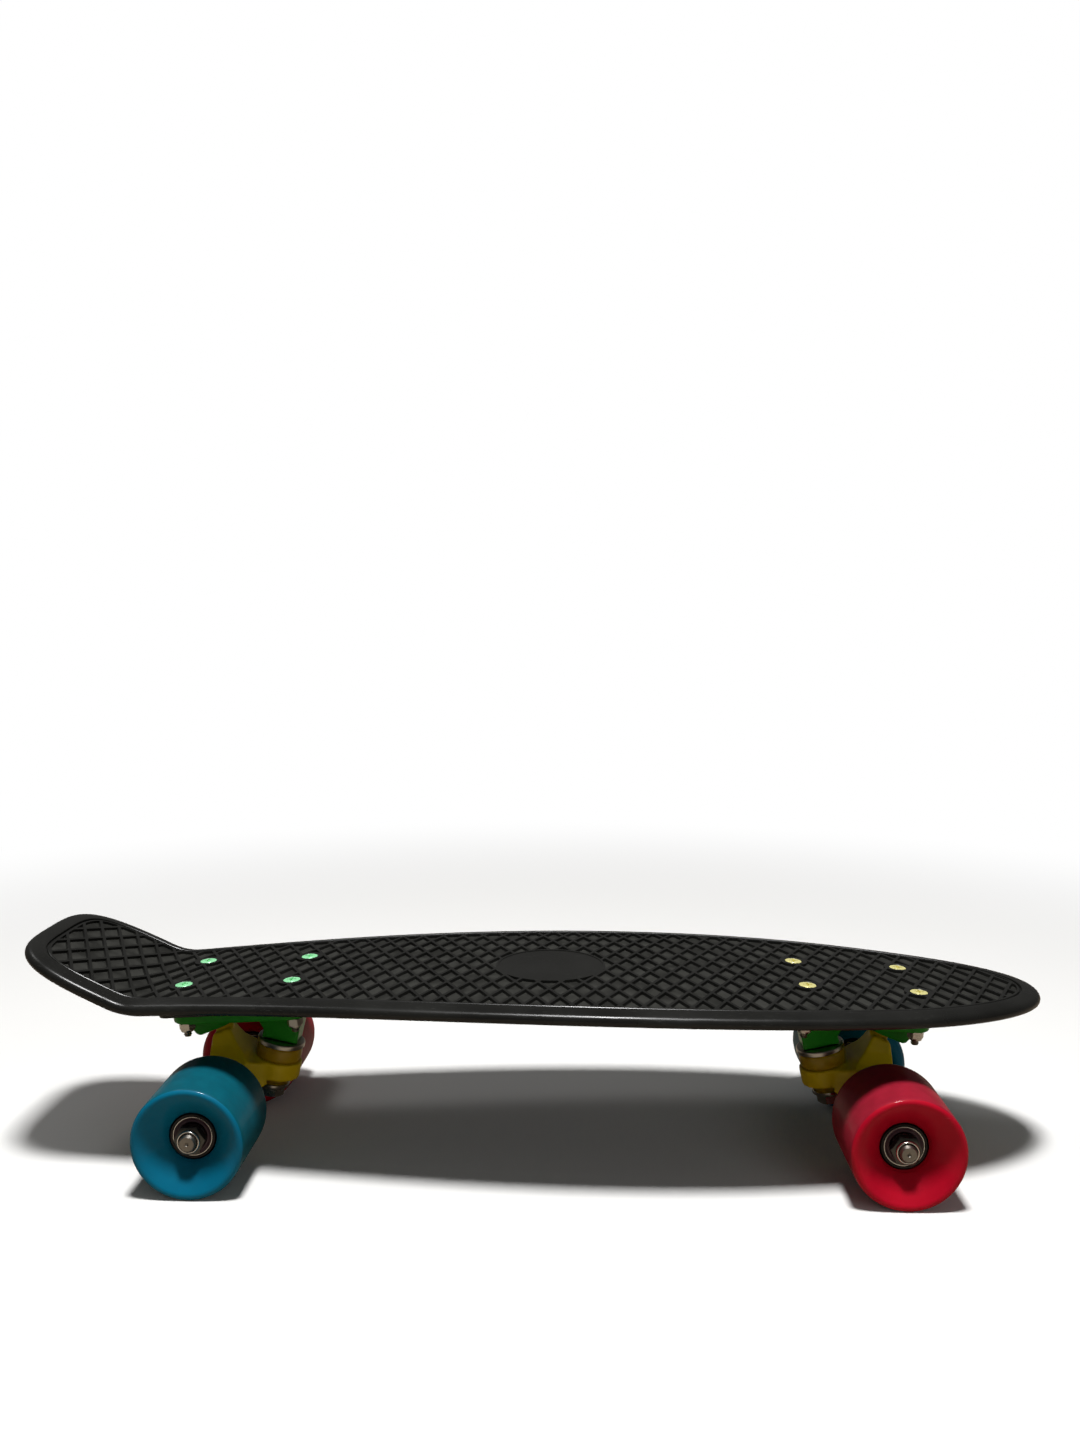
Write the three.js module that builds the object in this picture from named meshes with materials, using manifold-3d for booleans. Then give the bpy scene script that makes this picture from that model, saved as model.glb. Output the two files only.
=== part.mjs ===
// A small cruiser skateboard: a moulded plastic deck on two sprung trucks with four soft wheels.
//
// Millimetres, +X towards the nose, +Z up, the floor at Z = 0 and the middle of the board at X = Y = 0.
// Each truck is drawn once in a frame of its own, whose X points away from the middle of the board and whose
// Z = 0 is the face that it bolts to, and is then placed under the nose and, turned round, under the tail.

import * as THREE from 'three';
import { ConvexGeometry } from 'three/addons/geometries/ConvexGeometry.js';
import { mergeVertices } from 'three/addons/utils/BufferGeometryUtils.js';
import Module from 'manifold-3d';

const wasm = await Module();
wasm.setup();

// Fits shared by all the pieces
const seatGap = 0.3;
const cutOverrun = 1;
const boltClearance = 0.3;

// Deck: lengths run along its top face from the crest, which is halfway between the trucks
const noseReach = 244.8;
const widestReach = 41;
const tailBendReach = 192.6;
const tailKickLength = 54;
const tailBendRadius = 30;
const tailKickAngle = THREE.MathUtils.degToRad(25);
const camberRadius = 2750;
const noseLiftLength = 86;
const noseLiftRadius = 2660;
const deckWidth = 150;
const tailWidth = 100;
const noseExponent = 2.1;
const taperExponent = 1.25;
const tailExponent = 3.7;
const rimDepth = 7.4;
const rimRound = 2.8;
const rimBand = 9.8;
const rimFall = 1.5;
const rimWidth = 9;
const webThickness = 5;
const padDepth = 14.2;
const padLength = 78;
const padWidth = 60;
const ribWidth = 3;
const ribDepth = 12;
const ribSpacing = 17;
const ribRows = 4;
const crossRibSpacing = 44;
const badgePlace = 0.8;
const badgeRadius = 26.5;
const badgeSink = 0.5;
const badgeSides = 24;
const stationSpacing = 47;
const noseStations = 9;
const tailStations = 7;
const bendStations = 4;

// Tread: the main ribs cross in diamonds all over the deck's top, and finer ones lie between them
const treadPitchLong = 22.1;
const treadPitchWide = 42.8;
const treadPlaceLong = 1;
const treadPlaceWide = 3;
const treadDepth = 1.5;
const treadRibWidth = 1.7;
const treadBorder = 10.9;
const treadBossRadius = 7;

// Truck bolts
const boltSpacingLong = 54;
const boltSpacingWide = 41.3;
const boltRadius = 2;
const boltHeadRadius = 4.2;
const boltHeadDepth = 2.2;
const boltSink = 0.3;
const boltTail = 2.8;
const boltSides = 8;
const nutAcrossFlats = 7;
const nutHeight = 3.6;
const nutCollarHeight = 1;
const nutCollarRadius = 3.3;

// Baseplate
const truckReach = 153.8;
const plateLength = 68;
const plateWidth = 54;
const plateThickness = 4.8;
const plateCornerRadius = 9;
const housingWidthTop = 20;
const housingWidthBottom = 11;
const kingpinHousingLength = 18;
const pivotHousingDrop = 17;
const pivotHousingLowReach = 25.6;
const pivotHousingInnerDrop = 11.5;
const pivotHousingInnerReach = 10.5;
const pivotHousingReach = 30;
const archDrop = 9;

// Kingpin and its stack, measured along the kingpin from the middle of the hanger's ring
const kingpinTilt = THREE.MathUtils.degToRad(16);
const kingpinRadius = 4;
const kingpinHeadRadius = 7;
const kingpinHeadHeight = 5;
const kingpinHeadSink = 2.6;
const kingpinTail = 1.2;
const ringInset = 10.8;
const ringDrop = 35.3;
const ringRadius = 12.6;
const ringThickness = 6.8;
const ringBoreRadius = 6.2;
const ringSides = 24;
const boardBushingHeight = 8.7;
const boardBushingRadius = 11.6;
const roadBushingHeight = 5.6;
const roadBushingRadius = 11.2;
const cupRadius = 12.1;
const cupThickness = 1.2;
const cupLip = 1.6;
const roadWasherRadius = 9.6;
const roadWasherLip = 1.2;
const kingpinNutAcrossFlats = 13;
const kingpinNutHeight = 4.6;

// Pivot: the hanger's nose turns in a cup set in the baseplate
const pivotReach = 17.5;
const pivotDrop = 12.2;
const pivotRadius = 4.6;
const pivotRootRadius = 6.4;
const pivotLength = 13;
const pivotCupWall = 1.8;
const pivotCupDepth = 6.2;
const pivotCupFloor = 1.4;

// Hanger and axle
const axleReach = 12.8;
const axleDrop = 44.5;
const hangerWidth = 84;
const hangerBossRadius = 8.6;
const hangerEndRadius = 6.6;
const hangerBodyWidth = 56;
const axleRadius = 4;
const axleTail = 1.9;
const axleChamfer = 0.8;
const axleSides = 14;

// The hanger's side and front views, from the middle outwards, as shares of the axle's drop and of its width
const hangerSideShares = [
  [0.22, 0.39], [0.46, 0.44], [0.48, 0.69], [0.47, 1], [0.41, 1.14], [0.19, 1.175],
  [-0.09, 0.96], [-0.29, 0.88], [-0.31, 0.76], [-0.02, 0.67], [0.045, 0.605], [0.14, 0.525],
];
const hangerFrontShares = [[0.28, 0.34], [0.28, 0.51], [0.62, 0.68], [1, 0.88], [1, 1.065], [0.6, 1.23]];

// Its plan from the ring to the axle: how far out and how far across, as shares of the same two sizes
const hangerPlanShares = [
  [-0.36, 0.4], [-0.16, 0.46], [-0.02, 0.56], [0.09, 0.7], [0.18, 0.88], [0.26, 1], [0.6, 1],
];

// Wheels and bearings
const wheelRadius = 26.3;
const wheelWidth = 49;
const wheelFaceSink = 10.7;
const wheelSides = 18;

// The wheel's outline from the inner lip round the tread to the outer lip: how far out, as a share of the
// wheel's radius, and how far along, as a share of its width
const wheelShares = [
  [0.6, 0.06], [0.82, 0], [0.92, 0.04], [1, 0.15],
  [1, 0.93], [0.985, 0.968], [0.945, 0.993], [0.89, 1], [0.82, 0.98], [0.452, 0.8],
];
const bearingRadius = 11;
const bearingWidth = 7;
const bearingBore = 6.5;
const shieldRadius = 9.6;
const shieldSink = 0.5;
const bearingSpacing = 10;
const hubShoulderRadius = 9.4;
const raceRadius = 6.1;
const spacerRadius = 5.4;
const speedRingThickness = 1;
const bearingSides = 12;
const sleeveSides = 12;
const axleNutAcrossFlats = 12.7;
const axleNutHeight = 4.4;
const axleNutCollarHeight = 1.6;
const axleNutCollarRadius = 5.4;
const roundSides = 16;

const UP = new THREE.Vector3(0, 0, 1);
const ACROSS = new THREE.Vector3(0, 1, 0);

const finish = (color, roughness, metalness = 0, opacity = 1) => new THREE.MeshStandardMaterial({
  color, roughness, metalness, opacity, transparent: opacity < 1, flatShading: true,
});
const finishes = {
  deck: finish(0x262624, 0.45),
  baseplate: finish(0x2c7a1c, 0.4),
  hanger: finish(0xc9b015, 0.35),
  bushing: finish(0xb98a12, 0.35, 0, 0.9),
  cup: finish(0x1c1c1c, 0.6),
  steel: finish(0xa8a49c, 0.3, 1),
  redWheel: finish(0xc01230, 0.4),
  blueWheel: finish(0x1586a8, 0.4),
  shield: finish(0x3a2730, 0.5, 0.3),
  greenBolt: finish(0x9fb38a, 0.4, 0.4),
  yellowBolt: finish(0xc7b67a, 0.4, 0.4),
};

// Solids

// A closed solid from a geometry: shared corners are merged, and its faces are made to point out.
function solidOf(geometry) {
  const bare = geometry.index ? geometry.toNonIndexed() : geometry.clone();
  for (const name of Object.keys(bare.attributes)) {
    if (name !== 'position') bare.deleteAttribute(name);
  }
  const merged = mergeVertices(bare, 1e-4);
  const places = merged.attributes.position;
  const corners = [];
  let volume = 0;
  const [a, b, c] = [new THREE.Vector3(), new THREE.Vector3(), new THREE.Vector3()];
  for (let i = 0; i < merged.index.count; i += 3) {
    const [p, q, r] = [merged.index.getX(i), merged.index.getX(i + 1), merged.index.getX(i + 2)];
    if (p === q || q === r || r === p) continue;
    volume += a.fromBufferAttribute(places, p).dot(
      b.fromBufferAttribute(places, q).cross(c.fromBufferAttribute(places, r)));
    corners.push(p, q, r);
  }
  if (volume < 0) corners.reverse();
  return new wasm.Manifold(new wasm.Mesh({
    numProp: 3,
    vertProperties: new Float32Array(places.array),
    triVerts: new Uint32Array(corners),
  }));
}

function geometryOf(solid) {
  const mesh = solid.getMesh();
  const geometry = new THREE.BufferGeometry();
  geometry.setAttribute('position', new THREE.BufferAttribute(mesh.vertProperties, 3));
  geometry.setIndex(new THREE.BufferAttribute(mesh.triVerts, 1));
  return geometry;
}

const join = (...solids) => solids.reduce((whole, solid) => whole.add(solid));
const cut = (whole, ...tools) => tools.reduce((left, tool) => left.subtract(tool), whole);

function piece(name, solid, material) {
  const mesh = new THREE.Mesh(geometryOf(solid), material);
  mesh.name = name;
  return mesh;
}

// A profile of [radius, height] points turned about Z. A ring's profile closes on itself.
function turnedGeometry(profile, sides) {
  const points = profile.map(([radius, height]) => new THREE.Vector2(radius, height));
  const geometry = new THREE.LatheGeometry(points, sides, Math.PI / sides);
  return geometry.rotateX(Math.PI / 2);
}

const turned = (profile, sides = roundSides) => solidOf(turnedGeometry(profile, sides));
const closed = (profile) => [...profile, profile[0]];
const rod = (radius, low, high, sides = roundSides) =>
  turned([[0, low], [radius, low], [radius, high], [0, high]], sides);
const hexRadius = (acrossFlats) => acrossFlats / 2 / Math.cos(Math.PI / 6);
const hexRod = (acrossFlats, low, high) => rod(hexRadius(acrossFlats), low, high, 6);

// The same profile turned about the Y axis, for everything that spins on an axle.
const spun = (profile, sides) => solidOf(turnedGeometry(profile, sides).rotateX(-Math.PI / 2));

// An outline of Vector2 points, as a geometry that reaches from Z = 0 up to its depth.
const drawnUp = (outline, depth) =>
  new THREE.ExtrudeGeometry(new THREE.Shape(outline), { depth, bevelEnabled: false });

// An outline of Vector2 points in X and Z, as thick as it says across the board.
const plateAcross = (outline, width) =>
  solidOf(drawnUp(outline, width).rotateX(Math.PI / 2).translate(0, width / 2, 0));

// An outline of Vector2 points in Y and Z, drawn out along X.
function plateAlong(outline, low, high) {
  const turn = new THREE.Matrix4().makeBasis(ACROSS, UP, new THREE.Vector3(1, 0, 0));
  return solidOf(drawnUp(outline, high - low).applyMatrix4(turn).translate(low, 0, 0));
}

// An outline of Vector2 points in X and Y, drawn up along Z.
const plateUp = (outline, low, high) => solidOf(drawnUp(outline, high - low).translate(0, 0, low));

function roundedSlab(length, width, corner, low, high) {
  const [x, y] = [length / 2, width / 2];
  const outline = new THREE.Shape();
  outline.moveTo(x, corner - y);
  outline.lineTo(x, y - corner);
  outline.absarc(x - corner, y - corner, corner, 0, Math.PI / 2);
  outline.absarc(corner - x, y - corner, corner, Math.PI / 2, Math.PI);
  outline.absarc(corner - x, corner - y, corner, Math.PI, Math.PI * 1.5);
  outline.absarc(x - corner, corner - y, corner, Math.PI * 1.5, Math.PI * 2);
  return plateUp(outline.getPoints(4), low, high);
}

function box(lowX, highX, lowY, highY, lowZ, highZ) {
  const geometry = new THREE.BoxGeometry(highX - lowX, highY - lowY, highZ - lowZ);
  return solidOf(geometry.translate((lowX + highX) / 2, (lowY + highY) / 2, (lowZ + highZ) / 2));
}

const placed = (solid, matrix) => solid.transform(matrix.elements);

// Deck shape: the side view is a chain of arcs, walked outwards from the crest

const noseRun = [
  { length: noseReach - noseLiftLength, curvature: -1 / camberRadius },
  { length: noseLiftLength, curvature: 1 / noseLiftRadius },
];
const tailHeading = tailBendReach / camberRadius;
const tailBendLength = tailBendRadius * (tailKickAngle + tailHeading);
const tailReach = tailBendReach + tailBendLength + tailKickLength;
const tailRun = [
  { length: tailBendReach, curvature: -1 / camberRadius },
  { length: tailBendLength, curvature: 1 / tailBendRadius },
  { length: tailKickLength, curvature: 0 },
];

function walk(run, distance) {
  const at = { x: 0, z: 0, heading: 0 };
  let left = distance;
  for (const { length, curvature } of run) {
    const step = Math.min(left, length);
    const halfTurn = step * curvature / 2;
    const chord = curvature === 0 ? step : 2 * Math.sin(halfTurn) / curvature;
    at.x += chord * Math.cos(at.heading + halfTurn);
    at.z += chord * Math.sin(at.heading + halfTurn);
    at.heading += 2 * halfTurn;
    left -= step;
  }
  return at;
}

// The place of a point of the deck, given along its length, across it and down from its top face.
function onDeck(along, across, depth) {
  const end = along < 0 ? -1 : 1;
  const at = walk(end < 0 ? tailRun : noseRun, Math.abs(along));
  return new THREE.Vector3(
    end * (at.x + Math.sin(at.heading) * depth),
    across,
    at.z - Math.cos(at.heading) * depth,
  );
}

const tailRoundReach = tailBendReach + tailBendLength / 2;
const superellipse = (share, exponent) => Math.max(0, 1 - share ** exponent) ** (1 / exponent);

// Half the width of the deck: a round nose, a long taper, and a squarer tail.
function halfWidth(along) {
  if (along >= widestReach) {
    return deckWidth / 2 * superellipse((along - widestReach) / (noseReach - widestReach), noseExponent);
  }
  if (along <= -tailRoundReach) {
    const share = (-along - tailRoundReach) / (tailReach - tailRoundReach);
    return tailWidth / 2 * superellipse(share, tailExponent);
  }
  const share = (along + tailRoundReach) / (widestReach + tailRoundReach);
  return (tailWidth + (deckWidth - tailWidth) * Math.sin(share * Math.PI / 2) ** taperExponent) / 2;
}

// Stations along the deck from nose to tail, close together where the outline or the side view bends.
function deckStations() {
  const round = (count, exponent) => Array.from({ length: count }, (_, i) =>
    Math.sin((count - i) / count * Math.PI / 2) ** (2 / exponent));
  const even = (from, to) => {
    const count = Math.ceil((from - to) / stationSpacing);
    return Array.from({ length: count }, (_, i) => from + (to - from) * i / count);
  };
  const nose = round(noseStations, noseExponent).map((share) =>
    widestReach + (noseReach - widestReach) * share);
  const bend = Array.from({ length: bendStations }, (_, i) =>
    -tailBendReach - tailBendLength * i / bendStations);
  const kickFrom = -tailBendReach - tailBendLength;
  const kick = round(tailStations, tailExponent).reverse().map((share) =>
    kickFrom + (-tailReach - kickFrom) * share);
  return [...nose, ...even(widestReach, -tailBendReach), ...bend, kickFrom, ...kick];
}

// The left half of the outline, with the direction that points into the deck at each station.
function deckOutline() {
  const stations = deckStations();
  const points = stations.map((along) => new THREE.Vector2(along, halfWidth(along)));
  return points.map((point, i) => {
    if (i === 0) return { point, inward: new THREE.Vector2(-1, 0) };
    if (i === points.length - 1) return { point, inward: new THREE.Vector2(1, 0) };
    const before = point.clone().sub(points[i - 1]).normalize();
    const after = points[i + 1].clone().sub(point).normalize();
    const ahead = before.add(after).normalize();
    return { point, inward: new THREE.Vector2(ahead.y * -1, ahead.x).multiplyScalar(ahead.x < 0 ? 1 : -1) };
  });
}

// A slab with the deck's outline, skinned over rings that each lie some way in from the edge and below the
// top.
function deckSlab(rings) {
  const outline = deckOutline();
  const count = outline.length;
  const places = [];
  const index = (ring, side, i) => (ring * 2 + side) * count + i;
  for (const [inset, depth] of rings) {
    for (const side of [1, -1]) {
      for (const { point, inward } of outline) {
        const at = point.clone().addScaledVector(inward, inset);
        places.push(...onDeck(at.x, side * at.y, depth).toArray());
      }
    }
  }
  const corners = [];
  const quad = (a, b, c, d) => corners.push(a, b, c, a, c, d);
  const last = rings.length - 1;
  for (let i = 0; i < count - 1; i += 1) {
    quad(index(0, 0, i), index(0, 0, i + 1), index(0, 1, i + 1), index(0, 1, i));
    quad(index(last, 1, i), index(last, 1, i + 1), index(last, 0, i + 1), index(last, 0, i));
    for (let ring = 0; ring < last; ring += 1) {
      quad(index(ring + 1, 0, i), index(ring + 1, 0, i + 1), index(ring, 0, i + 1), index(ring, 0, i));
      quad(index(ring, 1, i), index(ring, 1, i + 1), index(ring + 1, 1, i + 1), index(ring + 1, 1, i));
    }
  }
  const geometry = new THREE.BufferGeometry();
  geometry.setAttribute('position', new THREE.Float32BufferAttribute(places, 3));
  geometry.setIndex(corners);
  return solidOf(geometry);
}

// A bar that follows the deck's underside, between two places along it and across it and two depths.
function deckBar(from, to, near, far, shallow, deep) {
  const count = Math.max(1, Math.ceil((to - from) / stationSpacing / 2));
  const places = [];
  const corners = [];
  const quad = (a, b, c, d) => corners.push(a, b, c, a, c, d);
  for (let i = 0; i <= count; i += 1) {
    const along = from + (to - from) * i / count;
    for (const [across, depth] of [[near, shallow], [far, shallow], [far, deep], [near, deep]]) {
      places.push(...onDeck(along, across, depth).toArray());
    }
  }
  for (let i = 0; i < count; i += 1) {
    for (let side = 0; side < 4; side += 1) {
      const next = (side + 1) % 4;
      quad(i * 4 + side, i * 4 + next, i * 4 + 4 + next, i * 4 + 4 + side);
    }
  }
  quad(3, 2, 1, 0);
  quad(count * 4, count * 4 + 1, count * 4 + 2, count * 4 + 3);
  const geometry = new THREE.BufferGeometry();
  geometry.setAttribute('position', new THREE.Float32BufferAttribute(places, 3));
  geometry.setIndex(corners);
  return solidOf(geometry);
}

// Places

// The face under the deck that a truck bolts to, as a matrix: X away from the board's middle, Z up.
function truckFace(end) {
  const { heading } = walk(end < 0 ? tailRun : noseRun, truckReach);
  const turn = new THREE.Quaternion().setFromAxisAngle(ACROSS, -end * heading);
  if (end < 0) turn.multiply(new THREE.Quaternion().setFromAxisAngle(UP, Math.PI));
  const place = onDeck(end * truckReach, 0, padDepth);
  return new THREE.Matrix4().compose(place, turn, new THREE.Vector3(1, 1, 1));
}

const boltPlaces = [-1, 1].flatMap((long) => [-1, 1].map((wide) =>
  new THREE.Vector2(long * boltSpacingLong / 2, wide * boltSpacingWide / 2)));

// The deck's crest stands where the axles, carried by the trucks, are one wheel radius above the floor.
const axlePlace = new THREE.Vector3(axleReach, 0, -axleDrop);
const axleBelowCrest = -axlePlace.clone().applyMatrix4(truckFace(1)).z;
const crestHeight = wheelRadius + axleBelowCrest;
const noseTip = onDeck(noseReach, 0, rimFall + rimRound).x;
const tailTip = onDeck(-tailReach, 0, rimDepth - rimRound).x;

// Deck

function truckHoles() {
  const head = [
    [0, -padDepth - cutOverrun],
    [boltRadius + boltClearance, -padDepth - cutOverrun],
    [boltRadius + boltClearance, -boltHeadDepth - boltSink],
    [boltHeadRadius + boltClearance, -boltSink],
    [boltHeadRadius + boltClearance, cutOverrun],
    [0, cutOverrun],
  ];
  return boltPlaces.map(({ x, y }) => {
    const top = padDepth - (camberRadius - Math.sqrt(camberRadius ** 2 - x ** 2));
    return turned(head, boltSides).translate([x, y, top]);
  });
}

function undersideRibs() {
  const inner = truckReach - padLength / 2 + seatGap;
  const reach = ribSpacing * (ribRows - 1) / 2;
  const ribs = Array.from({ length: ribRows }, (_, row) => {
    const across = row * ribSpacing - reach;
    return deckBar(-inner, inner, across - ribWidth / 2, across + ribWidth / 2, webThickness / 2, ribDepth);
  });
  const crossCount = Math.floor(inner / crossRibSpacing);
  for (let i = -crossCount; i <= crossCount; i += 1) {
    const along = i * crossRibSpacing;
    ribs.push(deckBar(
      along - ribWidth / 2, along + ribWidth / 2, -reach, reach, webThickness / 2, ribDepth));
  }
  return ribs;
}

// The pockets between the main ribs, whole or halved at the border, clear of the bolts and the badge.
function treadPockets() {
  const diagonal = Math.hypot(treadPitchLong, treadPitchWide);
  const long = (treadPitchLong - treadRibWidth * diagonal / treadPitchWide) / 2;
  const wide = (treadPitchWide - treadRibWidth * diagonal / treadPitchLong) / 2;
  const tips = [[long, 0], [0, wide], [-long, 0], [0, -wide]];
  const shapes = [tips, ...tips.map((left) => tips.filter((tip) => tip !== left))];
  const columns = Math.ceil(2 * tailReach / treadPitchLong);
  const rows = Math.ceil(deckWidth / treadPitchWide);
  const pockets = [];
  for (let column = -columns; column <= columns; column += 1) {
    for (let row = -rows; row <= rows; row += 1) {
      const along = treadPlaceLong + column * treadPitchLong / 2;
      const across = treadPlaceWide + row * treadPitchWide / 2;
      const shape = shapes.find((tried) => tried.every(([x, y]) =>
        along + x < noseReach - treadBorder && along + x > treadBorder - tailReach
        && Math.abs(across + y) < halfWidth(along + x) - treadBorder));
      if (!shape || (column + row) % 2 === 0) continue;
      const floor = shape.map(([x, y]) => onDeck(along + x, across + y, treadDepth));
      const mouth = shape.map(([x, y]) => onDeck(along + x, across + y, -cutOverrun));
      pockets.push(solidOf(new ConvexGeometry([...floor, ...mouth])));
    }
  }
  const bosses = [1, -1].flatMap((end) => boltPlaces.map(({ x, y }) =>
    placed(rod(treadBossRadius, 0, 2 * padDepth, boltSides).translate([x, y, 0]), truckFace(end))));
  const badge = rod(badgeRadius + treadRibWidth, -2 * treadDepth, 2 * treadDepth, badgeSides)
    .translate([badgePlace, 0, 0]);
  return cut(join(...pockets), badge, ...bosses);
}

function deckSolid() {
  const corner = rimRound * (1 - Math.SQRT1_2);
  const shell = deckSlab([
    [rimBand, 0], [rimRound, rimFall], [corner, rimFall + corner], [0, rimFall + rimRound],
    [0, rimDepth - rimRound], [corner, rimDepth - corner], [rimRound, rimDepth],
  ]);
  const hollow = deckSlab([[rimWidth, webThickness], [rimWidth, rimDepth + cutOverrun]]);
  const badge = rod(badgeRadius, -badgeSink, cutOverrun, badgeSides).translate([badgePlace, 0, 0]);
  let deck = cut(join(cut(shell, hollow), ...undersideRibs()), badge, treadPockets());
  for (const end of [1, -1]) {
    const face = truckFace(end);
    const pad = box(
      -padLength / 2, padLength / 2, -padWidth / 2, padWidth / 2, 0, padDepth - webThickness / 2);
    deck = cut(deck.add(placed(pad, face)), ...truckHoles().map((hole) => placed(hole, face)));
  }
  return deck;
}

// Truck pieces, in the truck's own frame

function deckBolt(x) {
  const top = padDepth - boltSink - (camberRadius - Math.sqrt(camberRadius ** 2 - x ** 2));
  const low = -seatGap - plateThickness - nutHeight - nutCollarHeight - boltTail;
  return turned([
    [0, low], [boltRadius, low], [boltRadius, top - boltHeadDepth], [boltHeadRadius, top], [0, top],
  ], boltSides);
}

function lockNut() {
  const top = -2 * seatGap - plateThickness;
  const shoulder = top - nutHeight;
  const low = shoulder - nutCollarHeight;
  const body = hexRod(nutAcrossFlats, shoulder, top);
  const collar = rod(nutCollarRadius, low, shoulder + cutOverrun, boltSides);
  const bore = rod(boltRadius + boltClearance, low - cutOverrun, top + cutOverrun, boltSides);
  return cut(join(body, collar), bore);
}

// Along the kingpin: a matrix whose Z runs up the kingpin from the middle of the hanger's ring.
const kingpinFrame = new THREE.Matrix4().compose(
  new THREE.Vector3(-ringInset, 0, -ringDrop),
  new THREE.Quaternion().setFromAxisAngle(ACROSS, -kingpinTilt),
  new THREE.Vector3(1, 1, 1),
);
const ringTop = ringThickness / 2;
const cupFloor = ringTop + 2 * seatGap + boardBushingHeight;
const housingFace = cupFloor + cupThickness + seatGap;
const roadWasherTop = -ringTop - 2 * seatGap - roadBushingHeight;
const kingpinNutTop = roadWasherTop - cupThickness - seatGap;
const faceFromRing = ringDrop / Math.cos(kingpinTilt);

// The turning axis: a matrix whose Z runs from the pivot's tip towards the middle of the hanger's ring.
const pivotAxis = new THREE.Vector3(-ringInset - pivotReach, 0, pivotDrop - ringDrop).normalize();
const pivotFrame = new THREE.Matrix4().compose(
  new THREE.Vector3(pivotReach, 0, -pivotDrop),
  new THREE.Quaternion().setFromUnitVectors(UP, pivotAxis),
  new THREE.Vector3(1, 1, 1),
);
const pivotCupRadius = pivotRadius + seatGap + pivotCupWall;

function kingpinPoint(across, along) {
  const at = new THREE.Vector3(across, 0, along).applyMatrix4(kingpinFrame);
  return new THREE.Vector2(at.x, at.z);
}

function baseplate() {
  const under = -seatGap - plateThickness;
  const plate = roundedSlab(plateLength, plateWidth, plateCornerRadius, under, -seatGap);
  const half = kingpinHousingLength / 2;
  const lift = plateThickness / 2;
  const kingpinSide = [
    kingpinPoint(-half, housingFace),
    kingpinPoint(half, housingFace),
    kingpinPoint(half, housingFace + half / 2),
    new THREE.Vector2(-half / 2, -archDrop),
    new THREE.Vector2(half / 2, under),
    new THREE.Vector2(half / 2, under + lift),
    new THREE.Vector2(kingpinPoint(-half, faceFromRing).x, under + lift),
  ];
  const pivotSide = [
    new THREE.Vector2(pivotHousingInnerReach - half / 2, under + lift),
    new THREE.Vector2(pivotHousingInnerReach, -pivotHousingInnerDrop),
    new THREE.Vector2(pivotHousingLowReach, -pivotHousingDrop),
    new THREE.Vector2(pivotHousingReach, (under - pivotHousingDrop) / 2),
    new THREE.Vector2(pivotHousingReach, under + lift),
  ];
  const front = [
    new THREE.Vector2(-housingWidthTop / 2, under + lift),
    new THREE.Vector2(-housingWidthBottom / 2, -faceFromRing),
    new THREE.Vector2(housingWidthBottom / 2, -faceFromRing),
    new THREE.Vector2(housingWidthTop / 2, under + lift),
  ];
  const kingpinHousing = plateAcross(kingpinSide, housingWidthTop)
    .intersect(plateAlong(front, -plateLength / 2, half));
  const pivotHousing = plateAcross(pivotSide, housingWidthTop);
  const holes = boltPlaces.map(({ x, y }) =>
    rod(boltRadius + boltClearance, under - cutOverrun, cutOverrun, boltSides).translate([x, y, 0]));
  const headSeat = faceFromRing - kingpinHeadSink - kingpinHeadHeight - seatGap;
  const kingpinHole = rod(kingpinRadius + seatGap, 0, faceFromRing + kingpinHeadRadius);
  const headHole = rod(kingpinHeadRadius + seatGap, headSeat, faceFromRing + kingpinHeadRadius);
  const cupHole = rod(pivotCupRadius + seatGap, -pivotCupFloor - pivotRadius - 2 * seatGap, pivotLength);
  return cut(join(plate, kingpinHousing, pivotHousing), ...holes,
    placed(join(kingpinHole, headHole), kingpinFrame), placed(cupHole, pivotFrame));
}

function kingpin() {
  const top = faceFromRing - kingpinHeadSink;
  const low = kingpinNutTop - kingpinNutHeight - kingpinTail;
  const shank = rod(kingpinRadius, low, top - kingpinHeadHeight / 2);
  return join(shank, hexRod(2 * kingpinHeadRadius * Math.cos(Math.PI / 6), top - kingpinHeadHeight, top));
}

function boardBushing() {
  const [low, high] = [ringTop + seatGap, ringTop + seatGap + boardBushingHeight];
  const neck = cupRadius - cupThickness - seatGap;
  const bore = kingpinRadius + seatGap;
  return turned(closed([
    [bore, low], [boardBushingRadius - cupThickness, low], [boardBushingRadius, low + cupThickness],
    [boardBushingRadius, high - cupLip - seatGap], [neck, high - cupLip], [neck, high], [bore, high],
  ]));
}

function roadBushing() {
  const [high, low] = [-ringTop - seatGap, -ringTop - seatGap - roadBushingHeight];
  const neck = roadWasherRadius - cupThickness - seatGap;
  const bore = kingpinRadius + seatGap;
  return turned(closed([
    [bore, low], [neck, low], [neck, low + roadWasherLip], [roadBushingRadius, high - cupThickness],
    [roadBushingRadius - cupThickness, high], [bore, high],
  ]));
}

// A shallow dish round the kingpin. Its lip points the way that the sign of the lip says.
function cupWasher(radius, floor, thickness, lip) {
  const bore = kingpinRadius + seatGap;
  const inner = radius - cupThickness;
  return turned(closed([
    [bore, floor], [bore, floor + thickness], [radius, floor + thickness],
    [radius, floor - lip], [inner, floor - lip], [inner, floor],
  ]));
}

function kingpinNut() {
  const low = kingpinNutTop - kingpinNutHeight;
  return cut(
    hexRod(kingpinNutAcrossFlats, low, kingpinNutTop),
    rod(kingpinRadius + seatGap, low - cutOverrun, kingpinNutTop + cutOverrun));
}

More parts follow.
